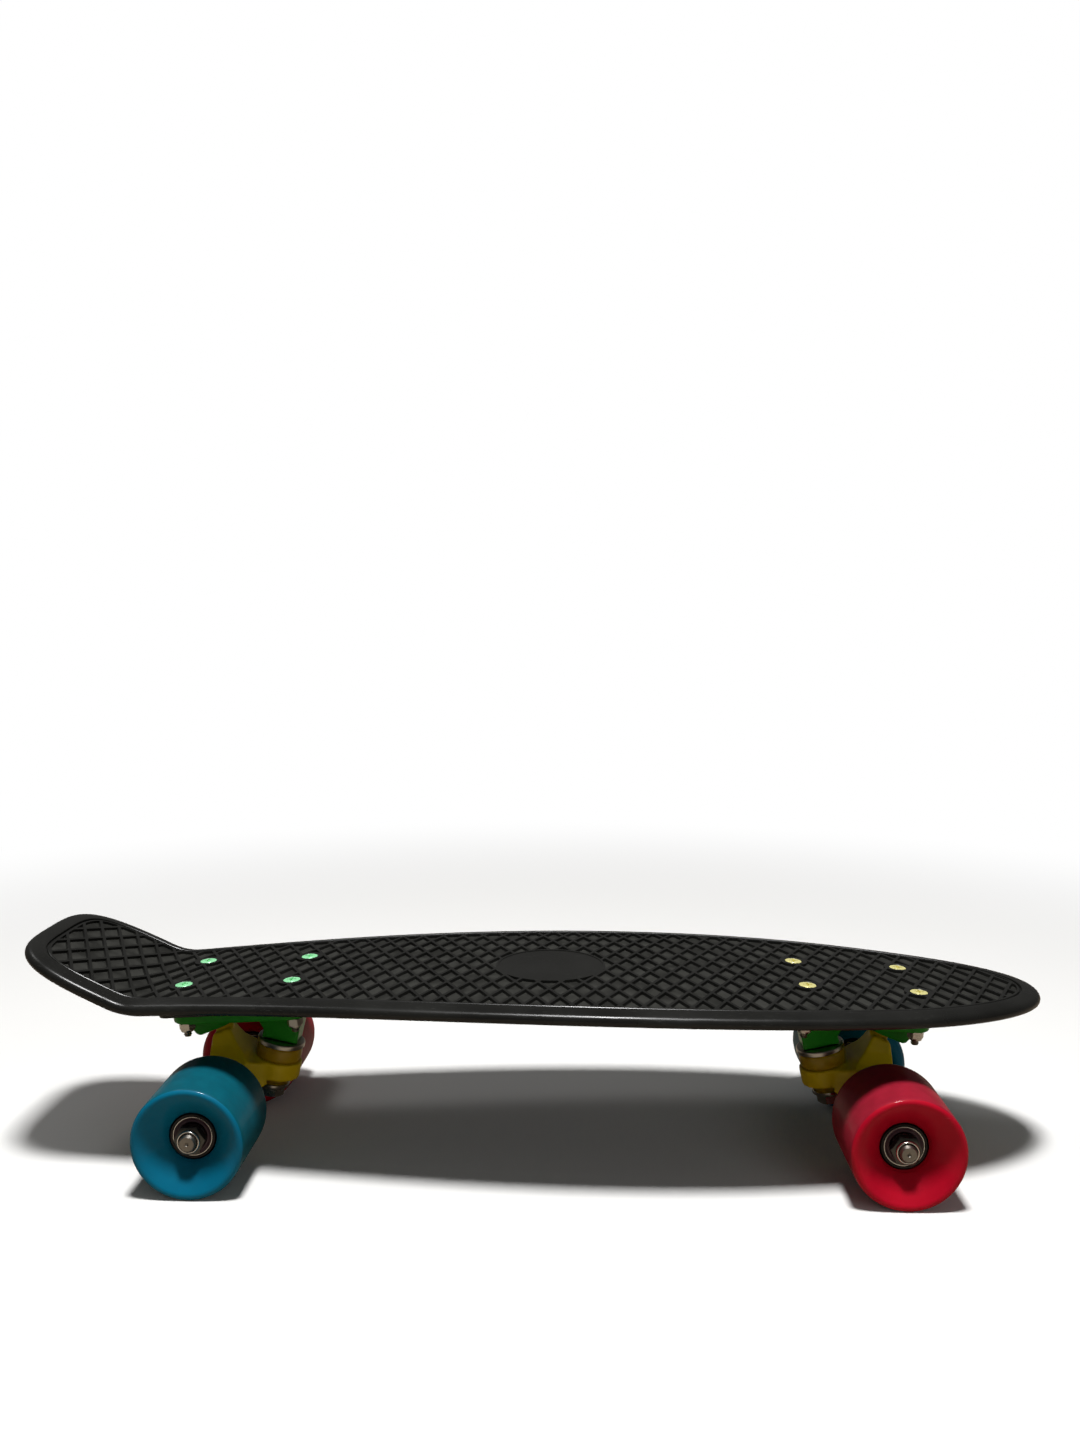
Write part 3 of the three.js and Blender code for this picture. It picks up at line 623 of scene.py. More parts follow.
class Effects:
    """Shader node groups that more than one finish uses."""

    @classmethod
    def mask(cls, tree: NodeTree, name: str, **values: float) -> NodeSocket:
        """Places a shared effect in a material and gives its one output."""
        group = {"Mottle": cls._mottle, "Scratches": cls._scratches, "Grain": cls._grain}[name]()
        node = tree.nodes.new("ShaderNodeGroup")
        node.node_tree = group
        return wire(tree, node, **values).outputs[0]

    @staticmethod
    def _group(name: str, inputs: dict[str, float], output: str) -> NodeTree:
        """Starts a group of plain values.

        Args:
            name: the group's name.
            inputs: its named inputs and their defaults.
            output: the name of its one output.

        Returns:
            The new group.
        """
        group = bpy.data.node_groups.new(name, "ShaderNodeTree")
        for label, value in inputs.items():
            socket = group.interface.new_socket(label, in_out="INPUT", socket_type="NodeSocketFloat")
            socket.default_value = value
        group.interface.new_socket(output, in_out="OUTPUT", socket_type="NodeSocketFloat")
        return group

    @staticmethod
    def _noise(group: NodeTree, vector: object, scale: object, detail: float) -> NodeSocket:
        """Adds a noise texture and gives its values."""
        return add_node(
            group, "ShaderNodeTexNoise", Vector=vector, Scale=scale, Detail=detail).outputs["Fac"]

    @staticmethod
    def _band(group: NodeTree, value: object, low: object, high: object) -> NodeSocket:
        """Stretches the values between two limits to the whole of 0 to 1."""
        return add_node(
            group, "ShaderNodeMapRange", Value=value, From_Min=low, From_Max=high).outputs["Result"]

    @classmethod
    @cache
    def _mottle(cls) -> NodeTree:
        """Soft cloudy patches, for uneven colour and polish."""
        group = cls._group("Mottle", {"Scale": 40.0}, "Mask")
        start, place = group.nodes.new("NodeGroupInput"), add_node(group, "ShaderNodeTexCoord")
        noise = cls._noise(group, place.outputs["Object"], start.outputs["Scale"], 5.0)
        add_node(group, "NodeGroupOutput", Mask=cls._band(group, noise, 0.35, 0.65))
        return group

    @classmethod
    @cache
    def _scratches(cls) -> NodeTree:
        """Fine stray lines in patches, for scuffs."""
        group = cls._group("Scratches", {"Scale": 260.0, "Amount": 0.4}, "Mask")
        start, place = group.nodes.new("NodeGroupInput"), add_node(group, "ShaderNodeTexCoord")
        stretch = add_node(
            group, "ShaderNodeMapping", Vector=place.outputs["Object"], Rotation=(0.3, 0.2, 0.6),
            Scale=(1, 9, 9))
        lines = cls._noise(group, stretch.outputs["Vector"], start.outputs["Scale"], 3.0)
        patches = cls._noise(group, place.outputs["Object"], 35.0, 2.0)
        least = add_math(group, "SUBTRACT", 0.8, start.outputs["Amount"])
        both = add_math(
            group, "MULTIPLY", cls._band(group, lines, 0.62, 0.72), cls._band(group, patches, least, 0.8))
        add_node(group, "NodeGroupOutput", Mask=both)
        return group

    @classmethod
    @cache
    def _grain(cls) -> NodeTree:
        """A fine even grain, for cast and moulded skins."""
        group = cls._group("Grain", {"Scale": 2500.0}, "Height")
        start, place = group.nodes.new("NodeGroupInput"), add_node(group, "ShaderNodeTexCoord")
        noise = cls._noise(group, place.outputs["Object"], start.outputs["Scale"], 2.0)
        add_node(group, "NodeGroupOutput", Height=noise)
        return group


@dataclass(frozen=True)
class Finish:
    """What a piece is made of and how it is worn; some finishes also carry painted shade.

    Attributes:
        name: the material's name.
        colour: its main colour, as written on the shader.
        shade_colour: the colour of its duller patches.
        roughness: how rough its polished parts are.
        wear_roughness: how rough its worn parts are.
        metallic: 1 for bare metal.
        wear_colour: the colour of its scuffs.
        wear_amount: how much of it is scuffed.
        grain_height: the height of its grain, in metres.
        grain_scale: how fine its grain is.
        mottle_scale: how large its patches are.
        coat: the weight of a clear coat.
        specular: how strongly a bare dielectric shines, 0.5 for the usual amount.
        translucency: how much light goes through.
        subsurface: how much light scatters below the skin.
        scuff_colours: the two colours of marked faces: deck dust, wheel wear with painted shade.
    """

    name: str
    colour: Colour
    shade_colour: Colour
    roughness: float
    wear_roughness: float
    metallic: float = 0.0
    wear_colour: Colour = (0.5, 0.5, 0.5)
    wear_amount: float = 0.3
    grain_height: float = 0.00002
    grain_scale: float = 2500.0
    mottle_scale: float = 40.0
    coat: float = 0.0
    specular: float = 0.5
    translucency: float = 0.0
    subsurface: float = 0.0
    scuff_colours: tuple[Colour, ...] = ()

    def material(self) -> Material:
        """The finish as a material, built when it is first asked for."""
        found = bpy.data.materials.get(self.name)
        return found if found else self._build()

    def _build(self) -> Material:
        """Builds the material."""
        made = bpy.data.materials.new(self.name)
        made.use_nodes = True
        tree = made.node_tree
        mottle = Effects.mask(tree, "Mottle", Scale=self.mottle_scale)
        scratches = Effects.mask(tree, "Scratches", Amount=self.wear_amount)
        base = mixed(tree, "RGBA", mottle, self.colour, self.shade_colour)
        rough = mixed(tree, "FLOAT", mottle, self.roughness, (self.roughness + self.wear_roughness) / 2)
        # Faces that the mesh marks take two patchy colours of their own: dust and scuffs on the deck's pocket
        # floors, road wear with painted shade on the wheels' treads.
        if self.scuff_colours:
            marked = add_node(tree, "ShaderNodeAttribute", {"attribute_name": SCUFF_AND_SHADE_LAYER}).outputs["Fac"]
            patches = Effects.mask(tree, "Mottle", Scale=self.mottle_scale * SCUFF_AND_SHADE_FINENESS)
            base = mixed(tree, "RGBA", marked, base, mixed(tree, "RGBA", patches, *self.scuff_colours))
            rough = mixed(tree, "FLOAT", marked, rough, self.wear_roughness)
        bump = add_node(
            tree, "ShaderNodeBump", Distance=self.grain_height, Strength=1.0,
            Height=Effects.mask(tree, "Grain", Scale=self.grain_scale))
        wire(
            tree, tree.nodes["Principled BSDF"],
            Base_Color=mixed(tree, "RGBA", scratches, base, self.wear_colour),
            Roughness=mixed(tree, "FLOAT", scratches, rough, self.wear_roughness), Metallic=self.metallic,
            Normal=bump.outputs["Normal"], Specular_IOR_Level=self.specular, Coat_Weight=self.coat,
            Coat_Roughness=COAT_ROUGHNESS, Transmission_Weight=self.translucency,
            Subsurface_Weight=self.subsurface, Subsurface_Radius=SUBSURFACE_REACH)
        return made


DECK_PLASTIC = Finish(
    "deck_plastic", (0.008, 0.008, 0.0072), (0.013, 0.013, 0.0118), 0.24, 0.42, specular=0.25,
    wear_colour=(0.05, 0.05, 0.045), wear_amount=0.4, grain_height=0.00001, mottle_scale=25.0,
    scuff_colours=((0.016, 0.016, 0.014), (0.036, 0.036, 0.032)))
GREEN_ENAMEL = Finish(
    "green_enamel", (0.016, 0.24, 0.014), (0.013, 0.19, 0.01), 0.3, 0.5,
    wear_colour=(0.06, 0.2, 0.04), wear_amount=0.15, specular=0.15)
YELLOW_ENAMEL = Finish(
    "yellow_enamel", (0.7, 0.5, 0.006), (0.6, 0.43, 0.005), 0.32, 0.5,
    wear_colour=(0.3, 0.24, 0.05), wear_amount=0.18, specular=0.2)
AMBER_URETHANE = Finish(
    "amber_urethane", (0.56, 0.36, 0.008), (0.46, 0.28, 0.006), 0.28, 0.45, wear_amount=0.05,
    wear_colour=(0.5, 0.35, 0.1), translucency=0.3, subsurface=0.3, specular=0.2)
BLACK_LINER = Finish("black_liner", (0.012, 0.012, 0.012), (0.02, 0.02, 0.02), 0.5, 0.7)
ZINC_STEEL = Finish(
    "zinc_steel", (0.5, 0.47, 0.42), (0.38, 0.36, 0.33), 0.26, 0.5, metallic=1.0,
    wear_colour=(0.25, 0.22, 0.2), wear_amount=0.25, grain_height=0.000005)
# Painted shade: the axle's steel is painted darker than bare steel, for the darker surroundings that its ends
# reflect.
AXLE_STEEL_PAINTED_SHADE = Finish(
    "axle_steel", (0.27, 0.25, 0.22), (0.2, 0.185, 0.165), 0.36, 0.55, metallic=1.0,
    wear_colour=(0.12, 0.11, 0.1), wear_amount=0.3, grain_height=0.00001)
BRIGHT_STEEL = Finish(
    "bright_steel", (0.68, 0.66, 0.62), (0.55, 0.53, 0.5), 0.18, 0.4, metallic=1.0,
    wear_colour=(0.4, 0.38, 0.35), wear_amount=0.15, grain_height=0.000003)
# The wheels' own colours for the marked tread band are darker and duller: road wear together with painted
# shade.
RED_URETHANE = Finish(
    "red_urethane", (0.5, 0.003, 0.02), (0.42, 0.002, 0.017), 0.45, 0.6, specular=0.08, coat=0.12,
    wear_amount=0.12, wear_colour=(0.5, 0.1, 0.12), subsurface=0.08,
    scuff_colours=((0.33, 0.012, 0.03), (0.28, 0.01, 0.025)))
BLUE_URETHANE = Finish(
    "blue_urethane", (0.001, 0.15, 0.26), (0.001, 0.125, 0.22), 0.45, 0.6, specular=0.08, coat=0.12,
    wear_amount=0.12, wear_colour=(0.08, 0.28, 0.36), subsurface=0.08,
    scuff_colours=((0.002, 0.1, 0.14), (0.002, 0.085, 0.12)))
# Painted shade: the bearings' outer rings are painted nearly black, far darker than steel, for the shade and
# dark reflections in the bearing seats.
RACE_STEEL_PAINTED_SHADE = Finish(
    "race_steel", (0.035, 0.032, 0.032), (0.02, 0.019, 0.019), 0.3, 0.5, metallic=1.0,
    wear_colour=(0.08, 0.07, 0.07), wear_amount=0.15, grain_height=0.000003)
BEARING_SHIELD = Finish(
    "bearing_shield", (0.05, 0.022, 0.03), (0.065, 0.03, 0.04), 0.45, 0.6, wear_amount=0.2,
    wear_colour=(0.15, 0.12, 0.12))
# Painted shade: the axle nut's six-sided body is painted much darker than its steel, for the shade in the
# wheel's recess, while its collar stays bright.
NUT_STEEL_PAINTED_SHADE = Finish(
    "nut_steel", (0.1, 0.1, 0.09), (0.07, 0.07, 0.065), 0.25, 0.45, metallic=1.0,
    wear_colour=(0.2, 0.18, 0.16), wear_amount=0.25, grain_height=0.000005)
YELLOW_BOLT = Finish(
    "yellow_bolt", (0.86, 0.8, 0.34), (0.76, 0.7, 0.28), 0.28, 0.45, metallic=0.25,
    wear_colour=(0.85, 0.83, 0.6), wear_amount=0.2)
GREEN_BOLT = Finish(
    "green_bolt", (0.36, 0.88, 0.46), (0.3, 0.78, 0.4), 0.28, 0.45, metallic=0.15,
    wear_colour=(0.5, 0.8, 0.55), wear_amount=0.2)


# Placing pieces


def dressed(name: str, mesh: Mesh, finish: Finish) -> Object:
    """Puts a mesh into the scene in its finish, and reports it."""
    mesh.materials.clear()
    mesh.materials.append(finish.material())
    LOG.info("%s: %d faces", name, len(mesh.polygons))
    return new_object(name, mesh)


def put(name: str, mesh: Mesh, finish: Finish, body: str, slot: str, *nodes: str) -> None:
    """Puts a finished piece on the board.

    Args:
        name: the piece's name.
        mesh: its mesh, in place, in metres.
        finish: what it is dressed in.
        body: the CAD body that it rides on.
        slot: a material slot name. It is not used.
        nodes: the CAD nodes that it stands for.
    """
    piece = dressed(name, mesh, finish)
    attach(piece, body)
    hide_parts(*nodes)


# The deck


@dataclass(frozen=True)
class DeckShape:
    """The deck's side view and outline, as in the part's source.

    Lengths along run on the top face from the crest, which is halfway between the trucks.
    """

    nose_reach: float = 244.8
    widest_reach: float = 41
    tail_bend_reach: float = 192.6
    tail_kick_length: float = 54
    tail_bend_radius: float = 30
    tail_kick_angle: float = math.radians(25)
    camber_radius: float = 2750
    crown_start: float = 28
    crown_radius: float = 1000
    nose_lift_length: float = 86
    nose_lift_radius: float = 2660
    width: float = 150
    tail_width: float = 100
    nose_exponent: float = 2.1
    taper_exponent: float = 1.25
    tail_exponent: float = 3.7
    rim_depth: float = 6.3
    rim_round: float = 2.2

    @property
    def tail_bend_length(self) -> float:
        """The length of the bend between the deck and its kicked tail."""
        return self.tail_bend_radius * (self.tail_kick_angle + self.tail_bend_reach / self.camber_radius)

    @property
    def tail_reach(self) -> float:
        """How far the top face runs from the crest to the tip of the tail."""
        return self.tail_bend_reach + self.tail_bend_length + self.tail_kick_length

    def runs(self, end: int) -> list[Point2]:
        """The arcs of the side view from the crest to one end, as (length, curvature)."""
        if end > 0:
            return [
                (self.nose_reach - self.nose_lift_length, -1 / self.camber_radius),
                (self.nose_lift_length, 1 / self.nose_lift_radius),
            ]
        return [
            (self.tail_bend_reach, -1 / self.camber_radius),
            (self.tail_bend_length, 1 / self.tail_bend_radius),
            (self.tail_kick_length, 0),
        ]

    def walk(self, end: int, distance: float) -> tuple[float, float, float]:
        """Walks along the side view.

        Args:
            end: 1 towards the nose, -1 towards the tail.
            distance: how far to walk from the crest.

        Returns:
            How far out and how high that is, and the heading there.
        """
        out = high = heading = 0.0
        left = distance
        for length, curvature in self.runs(end):
            step = min(left, length)
            half_turn = step * curvature / 2
            chord = step if curvature == 0 else 2 * math.sin(half_turn) / curvature
            out += chord * math.cos(heading + half_turn)
            high += chord * math.sin(heading + half_turn)
            heading += 2 * half_turn
            left -= step
        out += left * math.cos(heading)
        high += left * math.sin(heading)
        return out, high, heading

    def place(self, along: float, across: float, height: float) -> Vector:
        """A point of the flat drawing, bent to the deck's side view, from the crest."""
        end = -1 if along < 0 else 1
        out, high, heading = self.walk(end, abs(along))
        crown = max(0.0, abs(across) - self.crown_start) ** 2 / 2 / self.crown_radius
        return Vector((
            end * (out - math.sin(heading) * (height - crown)),
            across,
            high + math.cos(heading) * (height - crown),
        ))

    def half_width(self, along: float) -> float:
        """Half the deck's width at a length along it."""
        def superellipse(share: float, exponent: float) -> float:
            """How wide a superellipse is, as a share of its whole width, at a share of its length."""
            return max(0.0, 1 - share ** exponent) ** (1 / exponent)

        round_reach = self.tail_bend_reach + self.tail_bend_length / 2
        if along >= self.widest_reach:
            share = min(1.0, (along - self.widest_reach) / (self.nose_reach - self.widest_reach))
            return self.width / 2 * superellipse(share, self.nose_exponent)
        if along <= -round_reach:
            share = min(1.0, (-along - round_reach) / (self.tail_reach - round_reach))
            return self.tail_width / 2 * superellipse(share, self.tail_exponent)
        share = (along + round_reach) / (self.widest_reach + round_reach)
        grown_by = math.sin(share * math.pi / 2) ** self.taper_exponent
        return (self.tail_width + (self.width - self.tail_width) * grown_by) / 2

    def stations(self, end_count: int = 40, spacing: float = 4.0) -> list[float]:
        """Lengths along the deck from nose to tail, close together where the outline turns.

        Args:
            end_count: how many stations each rounded end has.
            spacing: how far apart the others are.

        Returns:
            The stations, from the nose's tip to the tail's.
        """
        def crowded(reach_from: float, reach_to: float, exponent: float) -> list[float]:
            """Stations that crowd towards the far one."""
            return [
                reach_from + (reach_to - reach_from) * math.sin(i / end_count * math.pi / 2) ** (2 / exponent)
                for i in range(1, end_count + 1)
            ]

        round_reach = self.tail_bend_reach + self.tail_bend_length / 2
        nose = crowded(self.widest_reach, self.nose_reach, self.nose_exponent)
        tail = crowded(round_reach, self.tail_reach, self.tail_exponent)
        count = math.ceil((self.widest_reach + round_reach) / spacing)
        middle = [self.widest_reach - (self.widest_reach + round_reach) * i / count for i in range(count + 1)]
        return [*reversed(nose), *middle, *(-reach for reach in tail)]

    def edge(self) -> list[tuple[Vector, Vector]]:
        """The left half of the outline from nose to tail, each point with the direction into the deck."""
        points = [Vector((along, self.half_width(along))) for along in self.stations()]
        rows = []
        for i, point in enumerate(points):
            if i == 0:
                rows.append((point, Vector((-1, 0))))
            elif i == len(points) - 1:
                rows.append((point, Vector((1, 0))))
            else:
                ahead = (point - points[i - 1]).normalized() + (points[i + 1] - point).normalized()
                ahead.normalize()
                rows.append((point, Vector((-ahead.y, ahead.x)) * (1 if ahead.x < 0 else -1)))
        return rows

    def ring(self, inset: float, height: float) -> list[tuple[float, float, float]]:
        """The whole outline, drawn in by some distance and lifted to a height, in the flat drawing."""
        left = [(point + inward * inset, height) for point, inward in self.edge()]
        one_side = [(at.x, max(at.y, 0.0), z) for at, z in left]
        other_side = [(x, -y, z) for x, y, z in reversed(one_side[1:-1])]
        return [*one_side, *other_side]


@dataclass(frozen=True)
class Tread:
    """The diamond tread of the deck's top face: thin crossing ribs with a flat pocket in each diamond."""

    pitch_along: float = 11.05
    pitch_across: float = 21.4
    rib_width: float = 1.5
    pocket_depth: float = 1.4
    draft: float = 0.94
    columns: int = 48
    rows: int = 15
    middle: Point2 = (6.5, 3.0)
    boss_radius: float = 7.0

    def plugs(self, top: float) -> Mesh:
        """The diamonds that are cut out of the top face, set out by geometry nodes.

        Args:
            top: the height of the tread's face.

        Returns:
            The plugs, in the flat drawing.
        """
        diagonal = math.hypot(self.pitch_along, self.pitch_across)
        half_along = self.pitch_along / 2 - self.rib_width / 2 * diagonal / self.pitch_across
        half_across = self.pitch_across / 2 - self.rib_width / 2 * diagonal / self.pitch_along
        height = 2 * self.pocket_depth
        return grown(empty_base(), Trees.lattice(), {
            "Pitch along": self.pitch_along,
            "Pitch across": self.pitch_across,
            "Plug along": half_along * (2 - self.draft),
            "Plug across": half_across * (2 - self.draft),
            "Height": height,
            "Taper": 2 * self.draft - 1,
            "Columns": self.columns,
            "Rows": self.rows,
            "Middle": (*self.middle, top - self.pocket_depth),
        })


@dataclass(frozen=True)
class Deck:
    """The deck, with its tread, rim, badge place, bolt bosses and ribbed underside."""

    shape: DeckShape = field(default_factory=DeckShape)
    tread: Tread = field(default_factory=Tread)
    crest_height: float = 89.9234
    crest_x: float = 6.7904
    truck_reach: float = 153.8
    edge_radius: float = 3.2
    edge_slope: float = 22
    band_fall: float = 1.1
    band_power: float = 1.8
    edge_steps: int = 6
    border_inset: float = 8.8
    border_lip: float = 0.3
    groove_width: float = 1.0
    groove_depth: float = 1.3
    border_rib: float = 1.2
    tread_sink: float = 0.25
    web: float = 5.0
    rim_width: float = 9.0
    pad_depth: float = 14.2
    pad_length: float = 78
    pad_width: float = 60
    pad_corner: float = 5
    rib_width: float = 3
    rib_depth: float = 12
    rib_spacing: float = 17
    rib_rows: int = 4
    cross_rib_spacing: float = 44
    badge_radius: float = 26.5
    badge_along: float = 0.8
    badge_sink: float = 0.5
    badge_sides: int = 96
    bolt_long: float = 54
    bolt_wide: float = 41.3
    bolt_hole: float = 2.3
    head_radius: float = 4.5
    head_depth: float = 2.5
    bend_slice: float = 1.5
    slice_start: float = -180
    slice_length: float = 15
    slice_count: int = 29

    def place(self) -> Matrix:
        """From the flat drawing's bent points to the row frame."""
        return Matrix.Translation((self.crest_x, 0, self.crest_height))

    def bolt_places(self) -> list[Point2]:
        """Where the truck bolts stand in the flat drawing."""
        return [
            (end * self.truck_reach + long * self.bolt_long / 2, wide * self.bolt_wide / 2)
            for end in (1, -1) for long in (-1, 1) for wide in (-1, 1)
        ]

    def shell(self) -> Mesh:
        """The moulded shell, in the flat drawing, without its tread."""
        shape = self.shape
        rim = shape.rim_depth
        groove = self.border_inset + self.groove_width
        field_edge = groove + self.border_rib
        rings: list[Point2] = [
            (field_edge, -self.tread_sink),
            (groove + 0.25, -self.tread_sink),
            (groove, -self.tread_sink - 0.2),
            (groove - 0.1, -self.groove_depth),
            (self.border_inset + 0.1, -self.groove_depth),
            (self.border_inset, -0.25),
        ]
        turn, tilt = self.edge_radius, math.radians(self.edge_slope)
        band_end = turn * (1 - math.sin(tilt))
        band_start, steps = self.border_inset - self.border_lip, self.edge_steps
        for i in range(steps):
            share = i / steps
            rings.append((
                band_start + (band_end - band_start) * share, -self.band_fall * share ** self.band_power))
        middle = -self.band_fall - turn * math.cos(tilt)
        for i in range(steps + 1):
            angle = tilt + i / steps * (math.pi / 2 - tilt)
            rings.append((turn * (1 - math.sin(angle)), middle + turn * math.cos(angle)))
        low_turn = shape.rim_round
        for i in range(1, steps):
            angle = i / (steps - 1) * math.pi / 2
            rings.append((low_turn * (1 - math.cos(angle)), low_turn - rim - low_turn * math.sin(angle)))
        rings.append((self.rim_width, -rim))
        rings.append((self.rim_width + 0.4, -self.web))
        return ring_solid([shape.ring(inset, height) for inset, height in rings])

    def pockets(self) -> Mesh:
        """The plugs of the tread, kept clear of the border, the bolt bosses and the badge."""
        groove = self.border_inset + self.groove_width
        edge = groove + self.border_rib
        depth = 3 * self.tread.pocket_depth
        room = ring_solid([self.shape.ring(edge, -depth), self.shape.ring(edge, depth)])
        kept = [
            shifted(rod(self.tread.boss_radius, -2 * depth, 2 * depth), x, y) for x, y in self.bolt_places()]
        kept.append(shifted(
            rod(self.badge_radius + self.border_rib, -2 * depth, 2 * depth, self.badge_sides),
            self.badge_along))
        room = merged(room, Merge.CUT, *kept)
        return merged(self.tread.plugs(-self.tread_sink), Merge.KEEP_SHARED, room)

    def underside(self) -> list[Mesh]:
        """The ribs and truck pads that hang below the web."""
        top = -self.web + 1
        inner = self.truck_reach - self.pad_length / 2 + 1
        middle_row = (self.rib_rows - 1) / 2
        reach = middle_row * self.rib_spacing
        half = self.rib_width / 2
        made = []
        for row in range(self.rib_rows):
            across = (row - middle_row) * self.rib_spacing
            made.append(block((-inner, across - half, -self.rib_depth), (inner, across + half, top)))
        count = int(inner // self.cross_rib_spacing)
        for i in range(-count, count + 1):
            along = i * self.cross_rib_spacing
            made.append(block(
                (along - half, -reach, 0.01 - self.rib_depth), (along + half, reach, top - 0.01)))
        for end in (1, -1):
            outline = rounded_outline(self.pad_length, self.pad_width, self.pad_corner)
            made.append(ring_solid([
                [(end * self.truck_reach + x, y, z) for x, y in outline]
                for z in (-self.pad_depth, top - 0.02)
            ]))
        return made

    def holes(self) -> list[Mesh]:
        """The countersunk truck bolt holes, and the shallow place for the badge."""
        made = []
        for x, y in self.bolt_places():
            made.append(shifted(rod(self.bolt_hole, -self.pad_depth - 1, 1, 32), x, y))
            made.append(shifted(
                tapered_rod(self.bolt_hole, self.head_radius + 0.7, -self.head_depth - 0.2, 0.3), x, y))
        made.append(shifted(rod(self.badge_radius, -self.badge_sink, 1, self.badge_sides), self.badge_along))
        return made

    def bend(self, mesh: Mesh) -> Mesh:
        """Slices the flat drawing into short lengths and bends it to the side view.

        Args:
            mesh: the deck in the flat drawing, in millimetres.

        Returns:
            The same mesh, in place in the row frame, in metres.
        """
        shape = self.shape
        work = bmesh.new()
        work.from_mesh(mesh)
        bmesh.ops.triangulate(work, faces=work.faces)
        bend_from, bend_to = shape.tail_bend_reach, shape.tail_bend_reach + shape.tail_bend_length
        bend_count = int((bend_to - bend_from) / self.bend_slice) + 5
        cuts = [-(bend_from - 2 * self.bend_slice + i * self.bend_slice) for i in range(bend_count)]
        cuts += [self.slice_start + i * self.slice_length for i in range(self.slice_count)]
        for along in cuts:
            bmesh.ops.bisect_plane(
                work, geom=work.verts[:] + work.edges[:] + work.faces[:], dist=1e-5,
                plane_co=(along, 0, 0), plane_no=(1, 0, 0))
        floor = self.tread_sink + self.tread.pocket_depth
        # Marks the pocket floors for their lighter dust and scuffs.
        scuffed = work.faces.layers.float.new(SCUFF_AND_SHADE_LAYER)
        for face in work.faces:
            level = abs(face.calc_center_median().z + floor) < self.tread_sink / 2
            face[scuffed] = float(level and abs(face.normal.z) > 0.9)
        for corner in work.verts:
            corner.co = shape.place(*corner.co)
        bmesh.ops.triangulate(work, faces=work.faces)
        work.to_mesh(mesh)
        work.free()
        return transformed(mesh, Matrix.Scale(MM, 4) @ self.place())

    def build(self) -> None:
        """Builds the deck and puts it in place."""
        solid = merged(self.shell(), Merge.ADD, *self.underside())
        solid = merged(solid, Merge.CUT, *self.holes(), self.pockets())
        mesh = shade(self.bend(solid), 30)
        put("deck_shell", mesh, DECK_PLASTIC, "board", "deck", "deck")


# The trucks


